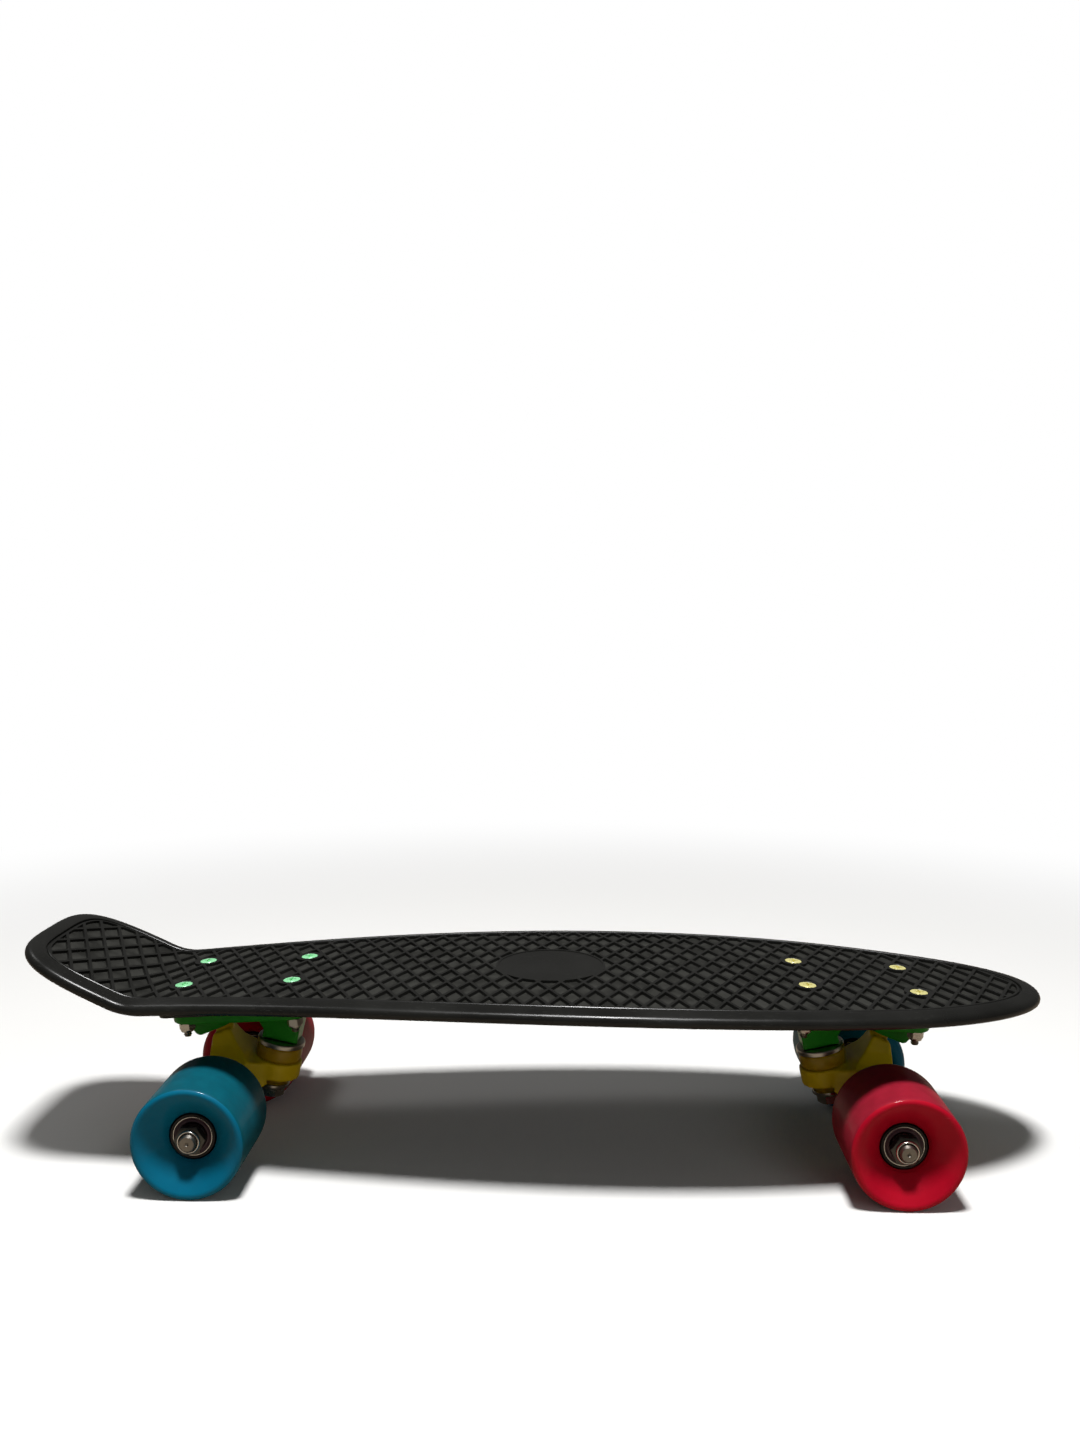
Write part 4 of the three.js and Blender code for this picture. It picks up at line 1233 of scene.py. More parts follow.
@dataclass(frozen=True)
class TruckSizes:
    """The sizes that a truck's pieces share, in the truck's own frame, as in the part's source."""

    seat_gap: float = 0.3
    plate_length: float = 68
    plate_width: float = 54
    plate_thickness: float = 4.8
    plate_corner: float = 9
    housing_width_top: float = 20
    housing_width_bottom: float = 11
    kingpin_housing_length: float = 18
    pivot_housing_drop: float = 17
    pivot_housing_low_reach: float = 25.6
    pivot_housing_inner_drop: float = 11.5
    pivot_housing_inner_reach: float = 10.5
    pivot_housing_reach: float = 30
    arch_drop: float = 9
    bolt_long: float = 54
    bolt_wide: float = 41.3
    bolt_radius: float = 2
    bolt_tail: float = 2.8
    head_radius: float = 4.2
    head_depth: float = 2.2
    head_sink: float = 0.3
    lock_nut_flats: float = 7
    lock_nut_height: float = 3.6
    lock_nut_collar: float = 3.3
    lock_nut_collar_height: float = 1
    kingpin_tilt: float = math.radians(16)
    kingpin_radius: float = 4
    kingpin_head_radius: float = 7
    kingpin_head_height: float = 5
    kingpin_head_sink: float = 2.6
    kingpin_tail: float = 1.2
    kingpin_nut_flats: float = 12
    kingpin_nut_height: float = 4.6
    ring_inset: float = 10.8
    ring_drop: float = 35.3
    ring_radius: float = 12.6
    ring_thickness: float = 6.8
    ring_bore: float = 6.2
    board_bushing_height: float = 8.7
    board_bushing_radius: float = 11.6
    road_bushing_height: float = 6.4
    road_bushing_radius: float = 11.2
    cup_radius: float = 12.1
    cup_thickness: float = 1.2
    cup_lip: float = 1.6
    road_washer_radius: float = 8.7
    road_washer_lip: float = 1.2
    pivot_reach: float = 17.5
    pivot_drop: float = 12.2
    pivot_radius: float = 4.6
    pivot_length: float = 13
    pivot_cup_wall: float = 1.8
    pivot_cup_depth: float = 6.2
    pivot_cup_floor: float = 1.4
    axle_reach: float = 12.8
    axle_drop: float = 44.5
    axle_radius: float = 4
    axle_end: float = 76.5
    axle_thread: float = 8
    hanger_width: float = 84
    hanger_boss: float = 8.6
    hanger_end: float = 6.6
    hanger_body: float = 56

    @property
    def ring_top(self) -> float:
        """The upper face of the hanger's ring, along the kingpin."""
        return self.ring_thickness / 2

    @property
    def cup_floor(self) -> float:
        """The lower face of the cup washer's floor, along the kingpin."""
        return self.ring_top + 2 * self.seat_gap + self.board_bushing_height

    @property
    def housing_face(self) -> float:
        """The face of the baseplate that the cup washer rests on, along the kingpin."""
        return self.cup_floor + self.cup_thickness + self.seat_gap

    @property
    def road_washer_top(self) -> float:
        """The upper face of the road washer, along the kingpin."""
        return -self.ring_top - 2 * self.seat_gap - self.road_bushing_height

    @property
    def kingpin_nut_top(self) -> float:
        """The upper face of the kingpin's nut, along the kingpin."""
        return self.road_washer_top - self.cup_thickness - self.seat_gap

    @property
    def face_from_ring(self) -> float:
        """How far up the kingpin the truck's bolting face is."""
        return self.ring_drop / math.cos(self.kingpin_tilt)

    @property
    def pivot_cup_radius(self) -> float:
        """The outside of the pivot cup."""
        return self.pivot_radius + self.seat_gap + self.pivot_cup_wall

    @property
    def kingpin_frame(self) -> Matrix:
        """Z runs up the kingpin from the middle of the hanger's ring."""
        turn = Quaternion(ACROSS, -self.kingpin_tilt).to_matrix().to_4x4()
        return Matrix.Translation((-self.ring_inset, 0, -self.ring_drop)) @ turn

    @property
    def pivot_frame(self) -> Matrix:
        """Z runs from the pivot's tip towards the middle of the hanger's ring."""
        axis = Vector((-self.ring_inset - self.pivot_reach, 0, self.pivot_drop - self.ring_drop)).normalized()
        turn = UP.rotation_difference(axis).to_matrix().to_4x4()
        return Matrix.Translation((self.pivot_reach, 0, -self.pivot_drop)) @ turn

    @property
    def bolt_places(self) -> list[Point2]:
        """Where the bolts stand, in the order of their names."""
        return [
            (long * self.bolt_long / 2, wide * self.bolt_wide / 2) for long in (-1, 1) for wide in (-1, 1)]

    def on_kingpin(self, mesh: Mesh) -> Mesh:
        """Stands a mesh that is drawn about Z on the kingpin."""
        return transformed(mesh, self.kingpin_frame)

    def on_pivot(self, mesh: Mesh) -> Mesh:
        """Stands a mesh that is drawn about Z on the pivot."""
        return transformed(mesh, self.pivot_frame)

    def kingpin_point(self, across: float, along: float) -> Point2:
        """A point of the kingpin's frame, in the truck's side view."""
        at = self.kingpin_frame @ Vector((across, 0, along))
        return at.x, at.z


@dataclass(frozen=True)
class Baseplate:
    """The cast plate that the truck bolts on by, with a housing for the kingpin and one for the pivot."""

    sizes: TruckSizes
    voxel: float = 0.6
    smoothing: int = 10
    tip_radius: float = 3.0
    cup_stand: float = 0.6

    def side_views(self) -> tuple[list[Point2], list[Point2]]:
        """The outlines of the kingpin's housing and of the pivot's, seen from the side."""
        sizes = self.sizes
        under = -sizes.seat_gap - sizes.plate_thickness
        lift = under + sizes.plate_thickness / 2
        half = sizes.kingpin_housing_length / 2
        kingpin = [
            sizes.kingpin_point(-half, sizes.housing_face),
            sizes.kingpin_point(half, sizes.housing_face),
            sizes.kingpin_point(half, sizes.housing_face + half / 2),
            (-half / 2, -sizes.arch_drop),
            (half / 2, under),
            (half / 2, lift),
            (sizes.kingpin_point(-half, sizes.face_from_ring)[0], lift),
        ]
        pivot = [
            (sizes.pivot_housing_inner_reach - half / 2, lift),
            (sizes.pivot_housing_inner_reach, -sizes.pivot_housing_inner_drop),
            *arc(
                (sizes.pivot_housing_low_reach - 0.36 * self.tip_radius,
                 1.2 * self.tip_radius - sizes.pivot_housing_drop),
                (self.tip_radius, self.tip_radius), -110, -36),
            (sizes.pivot_housing_reach, (under - sizes.pivot_housing_drop) / 2),
            (sizes.pivot_housing_reach, lift),
        ]
        return kingpin, pivot

    def below_housing(self) -> Mesh:
        """What lies under the pivot's housing, which the pivot cup is trimmed by."""
        sizes = self.sizes
        inner = sizes.pivot_housing_inner_reach, -sizes.pivot_housing_inner_drop - self.cup_stand
        outer = sizes.pivot_housing_low_reach, -sizes.pivot_housing_drop - self.cup_stand
        step = outer[0] - inner[0], outer[1] - inner[1]
        near = inner[0] - step[0], inner[1] - step[1]
        far = outer[0] + step[0], outer[1] + step[1]
        side = [near, (near[0], -2 * sizes.axle_drop), (far[0], -2 * sizes.axle_drop), far]
        return prism(Plane.SIDE, side, -sizes.plate_width, sizes.plate_width)

    def mesh(self) -> Mesh:
        """The casting, with its bores cut clean, in the truck's frame."""
        sizes = self.sizes
        under = -sizes.seat_gap - sizes.plate_thickness
        lift = under + sizes.plate_thickness / 2
        half = sizes.kingpin_housing_length / 2
        plate = prism(
            Plane.PLAN, rounded_outline(sizes.plate_length, sizes.plate_width, sizes.plate_corner, 12),
            under, -sizes.seat_gap)
        top, bottom = sizes.housing_width_top / 2, sizes.housing_width_bottom / 2
        front = [(-top, lift), (-bottom, -sizes.face_from_ring), (bottom, -sizes.face_from_ring), (top, lift)]
        kingpin_side, pivot_side = self.side_views()
        kingpin_housing = merged(
            prism(Plane.SIDE, kingpin_side, -top, top), Merge.KEEP_SHARED,
            prism(Plane.FRONT, front, -sizes.plate_length / 2, half))
        pivot_housing = prism(Plane.SIDE, pivot_side, -top + 0.01, top - 0.01)
        skin = cast_skin(
            merged(plate, Merge.ADD, kingpin_housing, pivot_housing), self.voxel, self.smoothing)
        skin = merged(skin, Merge.KEEP_SHARED, block(
            (-sizes.plate_length, -sizes.plate_width, -sizes.face_from_ring),
            (sizes.plate_length, sizes.plate_width, -sizes.seat_gap)))
        head_seat = (
            sizes.face_from_ring - sizes.kingpin_head_sink - sizes.kingpin_head_height - sizes.seat_gap)
        past = sizes.face_from_ring + sizes.kingpin_head_radius
        cup = sizes.pivot_cup_radius + sizes.seat_gap
        holes = [
            sizes.on_kingpin(rod(sizes.kingpin_radius + sizes.seat_gap, 0, past)),
            sizes.on_kingpin(rod(sizes.kingpin_head_radius + sizes.seat_gap, head_seat, past)),
            sizes.on_pivot(rod(
                cup, -sizes.pivot_cup_floor - sizes.pivot_radius - 2 * sizes.seat_gap,
                sizes.pivot_length)),
        ]
        holes += [
            shifted(rod(sizes.bolt_radius + sizes.seat_gap, 2 * under, -under, 32), x, y)
            for x, y in sizes.bolt_places]
        return merged(skin, Merge.CUT, *holes)


@dataclass(frozen=True)
class Hanger:
    """The cast wing that carries the axle, with the ring between the bushings and the pivot's stem."""

    sizes: TruckSizes
    voxel: float = 0.6
    smoothing: int = 10
    neck_radius: float = 3.6
    neck_start: float = 4.2
    neck_end: float = 7.5
    seat_depth: float = 2.0
    side_shares: Profile = (
        (0.245, 0.335), (0.34, 0.358), (0.425, 0.39), (0.445, 0.5), (0.445, 0.69), (0.45, 1), (0.41, 1.14),
        (0.19, 1.175), (-0.09, 1.0), (-0.29, 0.9), (-0.31, 0.76), (-0.02, 0.665), (0.06, 0.585),
        (0.14, 0.5), (0.195, 0.41),
    )
    front_shares: Profile = (
        (0.2, 0.32), (0.25, 0.4), (0.33, 0.5), (0.47, 0.6), (0.68, 0.71), (0.9, 0.82), (1, 0.9), (1, 1.065),
        (0.6, 1.23),
    )
    plan_shares: Profile = (
        (-0.36, 0.4), (-0.16, 0.46), (-0.02, 0.56), (0.09, 0.7), (0.18, 0.88), (0.26, 1), (0.6, 1))

    def wing(self) -> Mesh:
        """The wing, as what its side, front and plan views share."""
        sizes = self.sizes
        drop, half = sizes.axle_drop, sizes.hanger_body / 2
        side = smooth_loop([(out * drop, -down * drop) for out, down in self.side_shares])
        right = [(-out * half, -down * drop) for out, down in self.front_shares]
        front = [*right, *((-x, y) for x, y in reversed(right))]
        plan = [(out * drop, across * half) for out, across in self.plan_shares]
        plan = [*plan, *((x, -y) for x, y in reversed(plan))]
        return merged(
            prism(Plane.SIDE, side, -half, half), Merge.KEEP_SHARED,
            prism(Plane.FRONT, front, -drop, drop), prism(Plane.PLAN, plan, -2 * drop, 0))

    def beam(self) -> Mesh:
        """The round beam along the axle, with its two narrower ends, about Z."""
        sizes = self.sizes
        end, body = sizes.hanger_width / 2, sizes.hanger_body / 2
        shoulder = body - sizes.hanger_boss
        return spun([
            (0, -end), (sizes.hanger_end, -end), (sizes.hanger_end, -body), (sizes.hanger_boss, -shoulder),
            (sizes.hanger_boss, shoulder), (sizes.hanger_end, body), (sizes.hanger_end, end), (0, end),
        ], 64)

    def mesh(self) -> Mesh:
        """The casting, with its bores cut clean, in the truck's frame."""
        sizes = self.sizes
        room = sizes.seat_gap + sizes.cup_thickness
        low = -sizes.ring_top - self.seat_depth
        rooms = [
            sizes.on_kingpin(rod(sizes.cup_radius + room, sizes.ring_top, sizes.face_from_ring)),
            sizes.on_kingpin(rod(sizes.ring_radius, -sizes.face_from_ring, low)),
        ]
        stem = spun([
            (0, -sizes.pivot_radius), *arc((0, 0), (sizes.pivot_radius, sizes.pivot_radius), -80, 0),
            (sizes.pivot_radius, sizes.seat_gap), (self.neck_radius, self.neck_start),
            (self.neck_radius, self.neck_end), (0, self.neck_end),
        ], 48)
        whole = merged(
            merged(self.wing(), Merge.CUT, *rooms), Merge.ADD,
            transformed(self.beam(), self.axle_frame(1)),
            sizes.on_kingpin(rod(sizes.ring_radius, low, sizes.ring_top, 64)), sizes.on_pivot(stem))
        skin = cast_skin(whole, self.voxel, self.smoothing)
        passage = rod(sizes.axle_radius + sizes.seat_gap, -sizes.hanger_width, sizes.hanger_width)
        bore = rod(sizes.ring_bore, -sizes.ring_thickness, sizes.ring_thickness)
        seat = rod(sizes.road_bushing_radius + sizes.seat_gap, -sizes.face_from_ring, -sizes.ring_top)
        return merged(
            skin, Merge.CUT, transformed(passage, self.axle_frame(1)), sizes.on_kingpin(bore),
            sizes.on_kingpin(seat))

    def axle_frame(self, side: int) -> Matrix:
        """Z runs along the axle from the board's middle plane, to the side that the sign says."""
        turn = Matrix.Rotation(-side * math.pi / 2, 4, "X")
        return Matrix.Translation((self.sizes.axle_reach, 0, -self.sizes.axle_drop)) @ turn


@dataclass(frozen=True)
class Hardware:
    """The turned and pressed pieces of a truck, each about its own Z.

    A foot or a shoulder is given from the corner that it rounds, as (inwards, along).
    """

    sizes: TruckSizes
    sides: int = 72
    thread_pitch: float = 1.1
    thread_depth: float = 0.35
    thread_runout: float = 0.3
    bolt_thread: float = 9
    bolt_sides: int = 40
    kingpin_thread: float = 8.3
    bushing_foot: Profile = ((1.0, 0), (0.4, 0.25), (0.08, 1.0))
    bushing_shoulder: Profile = ((0.15, 1.1), (0.45, 0.45))
    cone_foot: Profile = ((0.5, 1.5), (0.05, 0.9), (0.3, 0.3), (1, 0))
    nut_face_share: float = 0.96
    nut_corner_drop: float = 0.55
    recess_reach: float = 2.2
    recess_half: float = 0.5
    recess_depth: float = 1.3

    def threaded(self, radius: float, low: float, high: float) -> list[Point2]:
        """The profile of a thread's crests and roots between two heights, going up."""
        count = round((high - low) / self.thread_pitch)
        pitch = (high - low) / count
        points: list[Point2] = []
        for i in range(count):
            points += [(radius - self.thread_depth, low + i * pitch), (radius, low + (i + 0.5) * pitch)]
        return [*points, (radius - self.thread_depth, high)]

    def nut(self, flats: float, low: float, high: float, bore: float) -> Mesh:
        """A six-sided nut with its corners turned down at both ends."""
        corner = flats / math.sqrt(3)
        face = flats / 2 * self.nut_face_share
        drop = (corner - face) * self.nut_corner_drop
        body = rod(corner, low, high, 6)
        turned = spun([
            (bore, low), (face, low), (corner, low + drop), (corner, high - drop), (face, high), (bore, high),
        ], self.sides)
        return merged(body, Merge.KEEP_SHARED, turned)

    def lock_nut(self) -> Mesh:
        """A small nut with the rounded collar that holds its locking ring."""
        sizes = self.sizes
        top = -2 * sizes.seat_gap - sizes.plate_thickness
        shoulder = top - sizes.lock_nut_height
        low = shoulder - sizes.lock_nut_collar_height
        bore = sizes.bolt_radius + sizes.seat_gap
        outer = sizes.lock_nut_collar
        collar = spun([
            (bore, low + 0.25), (bore + 0.35, low), (outer - 0.5, low), (outer - 0.15, low + 0.15),
            (outer, low + 0.5), (outer, shoulder + 0.4), (bore, shoulder + 0.4),
        ], self.bolt_sides)
        return merged(self.nut(sizes.lock_nut_flats, shoulder, top, bore), Merge.ADD, collar)

    def bolt_head(self, deck_thickness: float) -> Mesh:
        """A countersunk bolt's head, with a crossed recess.

        Args:
            deck_thickness: how far the deck's top is above the truck's face.

        Returns:
            The head, about the truck frame's Z.
        """
        sizes = self.sizes
        top = deck_thickness - sizes.head_sink
        radius, head = sizes.bolt_radius, sizes.head_radius
        cone = spun([
            (0, top - sizes.head_depth), (radius, top - sizes.head_depth), (head - 0.1, top - 0.35),
            (head, top - 0.2), (head - 0.15, top - 0.04), (head * 0.6, top + 0.12), (0, top + 0.18),
        ], self.bolt_sides)
        reach, half, low = self.recess_reach, self.recess_half, top - self.recess_depth
        recess = merged(
            block((-reach, -half, low), (reach, half, top + 1)), Merge.ADD,
            block((-half, -reach, low - 0.01), (half, reach, top + 1.01)))
        return merged(cone, Merge.CUT, recess)

    def bolt_shank(self, deck_thickness: float) -> Mesh:
        """The bolt below its head, threaded at its lower end.

        Args:
            deck_thickness: how far the deck's top is above the truck's face.

        Returns:
            The shank, about the truck frame's Z.
        """
        sizes = self.sizes
        top = deck_thickness - sizes.head_sink - sizes.head_depth
        radius = sizes.bolt_radius
        low = (
            -sizes.seat_gap - sizes.plate_thickness - sizes.lock_nut_height - sizes.lock_nut_collar_height
            - sizes.bolt_tail)
        return spun([
            (0, low), (radius - 0.5, low), *self.threaded(radius, low + 0.4, low + self.bolt_thread),
            (radius, low + self.bolt_thread + self.thread_runout), (radius, top), (0, top),
        ], self.bolt_sides)

    def kingpin(self) -> Mesh:
        """The kingpin, with a six-sided head above and a thread below."""
        sizes = self.sizes
        top = sizes.face_from_ring - sizes.kingpin_head_sink
        low = sizes.kingpin_nut_top - sizes.kingpin_nut_height - sizes.kingpin_tail
        under_head = top - sizes.kingpin_head_height
        radius = sizes.kingpin_radius
        shank = spun([
            (0, low), (radius - 0.8, low), *self.threaded(radius, low + 0.6, low + self.kingpin_thread),
            (radius, low + self.kingpin_thread + self.thread_runout), (radius, under_head + 1),
            (0, under_head + 1),
        ], self.sides)
        head = rod(sizes.kingpin_head_radius, under_head, top, 6)
        return merged(shank, Merge.ADD, head)

    def kingpin_nut(self) -> Mesh:
        """The nut below the road washer."""
        sizes = self.sizes
        return self.nut(
            sizes.kingpin_nut_flats, sizes.kingpin_nut_top - sizes.kingpin_nut_height, sizes.kingpin_nut_top,
            sizes.kingpin_radius + sizes.seat_gap)

    def cup(self, radius: float, floor: float, thickness: float, lip: float) -> Mesh:
        """A pressed dish round the kingpin, with a rounded shoulder.

        Args:
            radius: its outside.
            floor: the height of the face that the bushing sits on.
            thickness: how thick it is, below zero for a dish that opens upwards.
            lip: how far its rim reaches back over the bushing, with the same sign.

        Returns:
            The washer, about the kingpin frame's Z.
        """
        sizes = self.sizes
        way = 1 if thickness > 0 else -1
        wall = abs(thickness)
        bore, inner = sizes.kingpin_radius + sizes.seat_gap, radius - wall
        top = floor + thickness
        shoulder = [(radius - wall + wall * math.sin(math.radians(a)), top - way * wall * (
            1 - math.cos(math.radians(a)))) for a in range(0, 91, 15)]
        return spun([
            (bore, floor), (bore, top), *shoulder,
            (radius, floor - lip + way * 0.2), (radius - 0.2, floor - lip), (inner + 0.15, floor - lip),
            (inner, floor - lip + way * 0.15), (inner, floor - way * 0.3), (inner - 0.3, floor),
        ], self.sides)

    def board_bushing(self) -> Mesh:
        """The soft ring between the baseplate and the hanger, a little bulged."""
        sizes = self.sizes
        low = sizes.ring_top + sizes.seat_gap
        high = low + sizes.board_bushing_height
        neck = sizes.cup_radius - sizes.cup_thickness - sizes.seat_gap
        bore, radius = sizes.kingpin_radius + sizes.seat_gap, sizes.board_bushing_radius
        shoulder = high - sizes.cup_lip
        foot = [(radius - inwards, low + up) for inwards, up in self.bushing_foot]
        top = [(radius - inwards, shoulder - down) for inwards, down in self.bushing_shoulder]
        return spun([
            (bore, low), *foot, (radius, (low + shoulder) / 2), *top, (neck, shoulder - 0.1), (neck, high),
            (bore, high),
        ], self.sides)

    def road_bushing(self) -> Mesh:
        """The soft cone between the hanger and the road washer."""
        sizes = self.sizes
        high = -sizes.ring_top - sizes.seat_gap
        low = high - sizes.road_bushing_height
        neck = sizes.road_washer_radius - sizes.cup_thickness - sizes.seat_gap
        bore, radius = sizes.kingpin_radius + sizes.seat_gap, sizes.road_bushing_radius
        foot = [(radius - inwards, high - down) for inwards, down in self.cone_foot]
        return spun([
            (bore, low), (neck, low), (neck, low + sizes.road_washer_lip), (neck + 0.9, low + 2.1), *foot,
            (bore, high),
        ], self.sides)

    def pivot_cup(self) -> Mesh:
        """The liner that the hanger's stem turns in."""
        sizes = self.sizes
        inner, outer = sizes.pivot_radius + sizes.seat_gap, sizes.pivot_cup_radius
        floor = -inner - sizes.pivot_cup_floor
        return spun([
            (0, floor), (outer - 0.6, floor), (outer, floor + 0.6), (outer, sizes.pivot_cup_depth - 0.4),
            (outer - 0.4, sizes.pivot_cup_depth), (inner, sizes.pivot_cup_depth),
            *arc((0, 0), (inner, inner), 0, -80), (0, -inner),
        ], self.sides)

    def axle(self) -> Mesh:
        """The axle, threaded and dimpled at both ends, about Z."""
        sizes = self.sizes
        end, radius = sizes.axle_end, sizes.axle_radius
        half = [
            (radius, 0), (radius, end - sizes.axle_thread),
            *self.threaded(radius, end - sizes.axle_thread + self.thread_runout, end - 0.8),
            (radius - 0.7, end), (0.9, end), (0.7, end - 0.25), (0, end - 0.9),
        ]
        return spun([*((r, -z) for r, z in reversed(half)), *half[1:]], self.sides)


@dataclass(frozen=True)
class Truck:
    """One truck, placed under its end of the deck."""

    end: End
    deck: Deck
    sizes: TruckSizes = field(default_factory=TruckSizes)

    @property
    def face(self) -> Matrix:
        """From the truck's own frame, in millimetres, to the row frame, in metres."""
        shape = self.deck.shape
        _, _, heading = shape.walk(self.end.value, self.deck.truck_reach)
        turn = Quaternion(ACROSS, -self.end.value * heading)
        if self.end is End.REAR:
            turn = turn @ Quaternion(UP, math.pi)
        at = shape.place(self.end.value * self.deck.truck_reach, 0, -self.deck.pad_depth)
        return Matrix.Scale(MM, 4) @ self.deck.place() @ Matrix.Translation(at) @ turn.to_matrix().to_4x4()

    @property
    def assembly(self) -> str:
        """The CAD body that turns with the hanger."""
        return f"{self.end.word}_axle_assembly"

    def node(self, name: str) -> str:
        """The name of one of this truck's CAD nodes."""
        return f"{self.end.word}_{name}"

    def piece(self, name: str, mesh: Mesh, finish: Finish, body: str, slot: str) -> None:
        """Places a piece that stands for the one CAD node of its name.

        Args:
            name: the node's name without its end.
            mesh: the piece's mesh, in the truck's frame.
            finish: what it is dressed in.
            body: the CAD body that it rides on.
            slot: its material slot.
        """
        mesh = shade(transformed(mesh, self.face))
        put(self.node(f"{name}_shape"), mesh, finish, body, slot, self.node(name))

    def bushing(self, name: str, mesh: Mesh, held: float, moved: float) -> None:
        """Places a soft ring between the board and the hanger.

        Args:
            name: the node's name without its end.
            mesh: its mesh, about the kingpin frame's Z.
            held: the height of its face that stays with the board.
            moved: the height of its face that goes with the hanger.
        """
        frame_here = self.face @ self.sizes.kingpin_frame
        shape = shade(transformed(mesh, frame_here))
        made = dressed(self.node(f"{name}_shape"), shape, AMBER_URETHANE)
        start, end = frame_here @ Vector((0, 0, held)), frame_here @ Vector((0, 0, moved))
        self.assembly
        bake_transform(made)
        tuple(start)
        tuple(end)
        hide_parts(self.node(name))

    def fasteners(self, name: str, pattern: str, finish: Finish, slot: str, unit: Mesh) -> None:
        """Sets one fastener out on the bolt pattern, by geometry nodes.

        Args:
            name: the piece's name without its end.
            pattern: the name of its CAD nodes without their end and number.
            finish: what it is dressed in.
            slot: its material slot.
            unit: one fastener, in the truck's frame.
        """
        places = bpy.data.meshes.new("places")
        places.from_pydata([(x, y, 0) for x, y in self.sizes.bolt_places], [], [])
        model = new_object("fastener", unit)
        mesh = grown(new_object("places", places), Trees.pattern(), {
            "Piece": model, "Finish": finish.material()})
        drop(model)
        nodes = [self.node(f"{pattern}_{i}") for i in range(1, 5)]
        put(self.node(name), shade(transformed(mesh, self.face)), finish, "board", slot, *nodes)

    def build(self) -> None:
        """Builds the truck's pieces and puts them in place."""
        sizes, made = self.sizes, Hardware(self.sizes)
        hanger, plate = Hanger(sizes), Baseplate(sizes)
        cup = made.cup(sizes.cup_radius, sizes.cup_floor, sizes.cup_thickness, sizes.cup_lip)
        washer = made.cup(
            sizes.road_washer_radius, sizes.road_washer_top, -sizes.cup_thickness, -sizes.road_washer_lip)
        liner = merged(sizes.on_pivot(made.pivot_cup()), Merge.CUT, plate.below_housing())
        axle = transformed(made.axle(), hanger.axle_frame(1))
        for name, mesh, finish, body, slot in (
                ("baseplate", plate.mesh(), GREEN_ENAMEL, "board", "baseplate"),
                ("hanger", hanger.mesh(), YELLOW_ENAMEL, self.assembly, "hanger"),
                ("axle", axle, AXLE_STEEL_PAINTED_SHADE, self.assembly, "steel"),
                ("kingpin", sizes.on_kingpin(made.kingpin()), ZINC_STEEL, "board", "steel"),
                ("kingpin_nut", sizes.on_kingpin(made.kingpin_nut()), BRIGHT_STEEL, "board", "steel"),
                ("cup_washer", sizes.on_kingpin(cup), ZINC_STEEL, "board", "steel"),
                ("road_washer", sizes.on_kingpin(washer), BRIGHT_STEEL, "board", "steel"),
                ("pivot_cup", liner, BLACK_LINER, "board", "pivot_cup")):
            self.piece(name, mesh, finish, body, slot)
        self.bushing("board_bushing", made.board_bushing(), sizes.cup_floor, sizes.ring_top)
        self.bushing("road_bushing", made.road_bushing(), sizes.road_washer_top, -sizes.ring_top)
        bolt = YELLOW_BOLT if self.end is End.FRONT else GREEN_BOLT
        thickness = self.deck.pad_depth
        self.fasteners("bolt_heads", "deck_bolt", bolt, f"{self.end.word}_bolt", made.bolt_head(thickness))
        self.fasteners("bolt_shanks", "deck_bolt", ZINC_STEEL, "steel", made.bolt_shank(thickness))
        self.fasteners("lock_nuts", "lock_nut", ZINC_STEEL, "steel", made.lock_nut())


# The wheels


@dataclass(frozen=True)
class WheelSizes:
    """The sizes of a wheel, its bearings and its nut, outwards from the board's middle plane.

    A lip is a quarter of an ellipse, given by its two half lengths. Edges and steps are given from the
    corner that they round: inwards and down, but for the hub's, which is outwards and up. The dish is given
    by its radii, and by how far each is from the inner face.
    """

    radius: float = 26.3
    outer_lip: Point2 = (2.1, 2.5)
    outer_edge: Profile = ((2.6, 0.08), (3.5, 0.35))
    inner_lip: Point2 = (5.2, 7.2)
    inner_dish: Profile = ((15.6, 3.1), (16.4, 2.3), (19.6, 0.25))
    tread_end: float = 4.5
    hub_edge: Profile = ((0.9, 0.75), (0.25, 0.1), (0, -0.2), (-0.1, -0.55))
    inner_face: float = 29.0
    outer_face: float = 78.0
    hub_radius: float = 11.9
    hub_face: float = 68.2
    seat_radius: float = 11.3
    shoulder_radius: float = 9.4
    bearing_radius: float = 11.0
    bearing_width: float = 7.0
    bearing_bore: float = 6.5
    inner_bearing: float = 43.3
    outer_bearing: float = 60.3
    race_radius: float = 6.1
    spacer_radius: float = 5.4
    sleeve_bore: float = 4.3
    sleeve_start: float = 42.3
    sleeve_end: float = 68.3
    nut_start: float = 68.6
    race_bore: float = 9.35
    clip_inner: float = 8.75
    clip_outer: float = 9.34
    shield_radius: float = 9.3
    shield_steps: Profile = ((8.6, 0.35), (8.3, 0.45), (7.7, 0.75), (7.3, 0.8))
    nut_flats: float = 12.7
    nut_height: float = 4.4
    nut_collar_height: float = 1.6
    nut_collar_radius: float = 5.4
    seat_gap: float = 0.3


